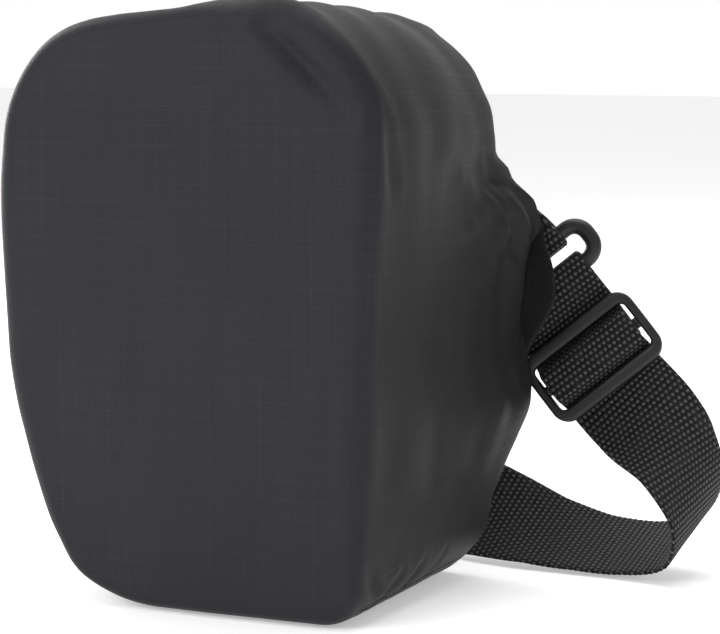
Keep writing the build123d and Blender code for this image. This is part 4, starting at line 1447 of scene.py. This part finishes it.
# ---------------------------------------------------------------- tab that holds the ring
RING_BAR = at_slider(41.0, 0.0)
tab_stations = (
    ((63.6, 66.2, 110.8), (0.735, 0.25, 0.63)),
    ((56.0, 65.0, 116.0), (0.66, 0.24, 0.71)),
    ((48.0, 60.8, 120.0), (0.55, 0.20, 0.81)),
    ((41.0, 55.4, 120.5), (0.45, 0.10, 0.89)),
    ((33.5, 50.9, 121.5), (0.33, 0.00, 0.94)),
    ((17.0, 50.7, 127.2), (0.33, 0.00, 0.94)),
)


def tab_side(offset):
    """One layer of the tab, offset from its middle."""
    places = [mm(*place) for place, across in tab_stations]
    layer = []
    for spot, (_, across) in enumerate(tab_stations):
        ahead = places[min(spot + 1, len(places) - 1)] - places[max(spot - 1, 0)]
        layer.append((places[spot] + Vector(across).cross(ahead).normalized() * mm(offset), across))
    return layer


toward_slider = (SLIDER_CENTRE - RING_BAR).normalized()
bar_turn = []
for angle in (100, 60, 20, -20, -60, -100):
    spin = math.radians(angle)
    around = toward_slider * math.cos(spin) + FACE * math.sin(spin)
    bar_turn.append((RING_BAR + around * mm(4.2), tuple(BAR)))
tab_route = tab_side(0.80)[::-1] + bar_turn + tab_side(-0.80)
ring_tab, _, _ = webbing_band(
    "ring_tab_webbing", tab_route, mm(34.6), mm(1.45), ribbed_webbing,
)
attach(ring_tab, "bag")
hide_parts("ring_tab")


def sewn_patch(name, node, middle, direction, level):
    """A stitched box with a cross, over the sewn end of a strap."""
    length, width = mm(12.0), mm(31.0)
    ahead = Vector((direction[0], 0, direction[1])).normalized()
    side = Vector((-direction[1], 0, direction[0])).normalized()
    centre = mm(middle[0], 0, middle[1])
    outer, inner = [], []
    for row in range(13):
        outer_row, inner_row = [], []
        for column in range(31):
            u, v = 2 * row / 12 - 1, 2 * column / 30 - 1
            place = centre + ahead * (u * length / 2) + side * (v * width / 2)
            dome = (1 - u ** 4) * (1 - v ** 8)
            outer_row.append((place.x, level + mm(0.25) + mm(0.55) * dome, place.z))
            inner_row.append((place.x, level, place.z))
        outer.append(outer_row)
        inner.append(inner_row)
    made = closed_pad(name, outer, inner, grosgrain, "bag")
    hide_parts(node)
    inset_u, inset_v = length / 2 - mm(1.4), width / 2 - mm(1.6)
    signs = ((-1, -1), (1, -1), (1, 1), (-1, 1))
    corners = [centre + ahead * (u * inset_u) + side * (v * inset_v) for u, v in signs]
    runs = [corners + corners[:1], [corners[0], corners[2]], [corners[1], corners[3]]]
    rows = []
    for run in runs:
        points = []
        for start, end in zip(run, run[1:]):
            points += [start.lerp(end, share / 12) for share in range(13)]
        rows.append(([(place.x, level + mm(0.8), place.z) for place in points], [(0, 1, 0)] * len(points)))
    stitches(name + "_stitches", rows, grey_thread, "bag", "webbing", pitch=mm(2.6))
    return made


patch_level = BAG_BACK + mm(2.4)
sewn_patch("strap_patch_box", "strap_patch", (-20.0, 124.5), (0.650, 0.760), patch_level)
sewn_patch("ring_patch_box", "ring_patch", (24.0, 124.8), (0.945, -0.327), BAG_BACK + mm(3.9))

# ---------------------------------------------------------------- sewing of the rain cover
def cover_normal(ring, spot):
    """Outward direction of the cover at one grid place."""
    along = cover_grid[min(ring + 1, len(cover_grid) - 1)][spot] - cover_grid[max(ring - 1, 0)][spot]
    across = cover_grid[ring][(spot + 1) % LOOP] - cover_grid[ring][spot - 1]
    out = np.cross(across, along)
    return out / max(np.linalg.norm(out), 1e-9)


def cover_row(marks):
    """A sewn row through grid places of the cover."""
    places = [cover_grid[ring][spot] for ring, spot in marks]
    return places, [cover_normal(ring, spot) for ring, spot in marks]


hem_line = [(len(cover_grid) - 1, spot) for spot in range(LOOP)]
hem_path = [cover_grid[ring][spot] - cover_normal(ring, spot) * mm(0.4) for ring, spot in hem_line]
elastic_cord = tube("gathered_elastic", hem_path, mm(1.3), knit_elastic, "rain_cover", sides=12,
                    closed=True, twist=260.0)
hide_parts("hem_elastic")
SEAM_RISE = 9
BASE_SEAM_RIGHT = FLAT_RUN + SEAM_RISE
BASE_SEAM_LEFT = LOOP - SEAM_RISE
sewn_rows = [cover_row([(ring, spot) for ring in range(EDGE_STEPS + 1, len(cover_grid) - 14)])
             for spot in (BASE_SEAM_RIGHT, BASE_SEAM_LEFT)]
sewn_rows.append(cover_row([(len(cover_grid) - 6, spot % LOOP) for spot in range(LOOP + 1)]))
cover_stitches = stitches("cover_stitches", sewn_rows, black_thread, "rain_cover", "ripstop", radius=mm(0.26))
for sewn in (elastic_cord, cover_stitches):
    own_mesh(sewn)

settle(*[bpy.data.objects[name] for name in (
    "front_pad", "back_pad", "lid_front_pad", "lid_back_pad", "right_gusset_pad", "left_gusset_pad",
    "base_pad", "lid_gusset_pad", "body_cord_front", "body_cord_back",
    "lid_cord_front", "lid_cord_back", "body_lining",
    "lid_lining", "lower_tape_cloth", "upper_tape_cloth", "lower_coil_teeth", "upper_coil_teeth",
    "body_topstitch", "lid_topstitch",
)])

# ---------------------------------------------------------------- camera, light and floor
def point_at(made, target):
    made.rotation_euler = (Vector(target) - made.location).to_track_quat("-Z", "Y").to_euler()


view_azimuth = math.radians(26.5)
view_elevation = math.radians(6.2)
camera_data = bpy.data.cameras.new("view")
camera_data.lens = 135.0
camera_data.sensor_width = 36.0
camera_data.clip_start = 0.05
camera = bpy.data.objects.new("view", camera_data)
bpy.context.scene.collection.objects.link(camera)
camera.location = mm(434.5, -797.55, 190.39)
looking = Vector((
    -math.sin(view_azimuth) * math.cos(view_elevation),
    math.cos(view_azimuth) * math.cos(view_elevation),
    -math.sin(view_elevation),
))
camera.rotation_euler = looking.to_track_quat("-Z", "Y").to_euler()
bpy.context.scene.camera = camera


def soft_light(name, place, target, width, height, power, tint=(1, 1, 1)):
    data = bpy.data.lights.new(name, "AREA")
    data.shape = "RECTANGLE"
    data.size = width
    data.size_y = height
    data.energy = power
    data.color = tint
    light = bpy.data.objects.new(name, data)
    bpy.context.scene.collection.objects.link(light)
    light.location = place
    point_at(light, target)
    return light


middle = Vector((0.0, 0.0, 0.10))
soft_light("front_box", (-0.5, -1.3, 0.9), middle, 0.9, 0.9, 12.5)
soft_light("right_box", (1.3, -0.5, 0.7), middle, 0.7, 0.9, 2.0)
soft_light("top_box", (0.0, 0.3, 1.5), middle, 1.2, 1.2, 12.0)
soft_light("left_rim", (-1.2, 0.6, 0.5), middle, 0.4, 1.0, 9.0)

floor_data = bpy.data.meshes.new("studio_floor")
reach = 6.0
floor_data.from_pydata([(-reach, -reach, 0), (reach, -reach, 0), (reach, reach, 0), (-reach, reach, 0)], [],
                       [(0, 1, 2, 3)])
floor = bpy.data.objects.new("studio_floor", floor_data)
bpy.context.scene.collection.objects.link(floor)
floor.location = (0.0, 0.0, mm(-0.4))
paper = Finish("pale_paper", Roughness=0.9, Emission_Color=(1, 1, 1, 1), Emission_Strength=0.36)
paper_tone = paper.noise(paper.place(), 2.0)
paper_colour = paper.mix(paper_tone, shade(247, 247, 247), shade(250, 250, 250))
floor_data.materials.append(paper.feed(Base_Color=paper_colour))

world = bpy.data.worlds.new("studio_air")
bpy.context.scene.world = world
world.use_nodes = True
air = world.node_tree
direction = air.nodes.new("ShaderNodeTexCoord")
facing = air.nodes.new("ShaderNodeVectorMath")
facing.operation = "DOT_PRODUCT"
facing.inputs[1].default_value = (-0.446, 0.895, 0.0)
air.links.new(direction.outputs["Generated"], facing.inputs[0])
brightness = air.nodes.new("ShaderNodeValToRGB")
brightness.color_ramp.elements[0].position = 0.05
brightness.color_ramp.elements[0].color = (0.38, 0.38, 0.39, 1)
brightness.color_ramp.elements[1].position = 0.75
brightness.color_ramp.elements[1].color = (1, 1, 1, 1)
air.links.new(facing.outputs["Value"], brightness.inputs["Fac"])
seen = air.nodes.new("ShaderNodeLightPath")
backdrop = air.nodes.new("ShaderNodeMix")
backdrop.data_type = "RGBA"
backdrop.inputs[7].default_value = (1, 1, 1, 1)
air.links.new(seen.outputs["Is Camera Ray"], backdrop.inputs[0])
air.links.new(brightness.outputs["Color"], backdrop.inputs[6])
air.links.new(backdrop.outputs[2], air.nodes["Background"].inputs["Color"])
world.node_tree.nodes["Background"].inputs["Strength"].default_value = 1.0
bpy.context.scene.view_settings.view_transform = "Standard"
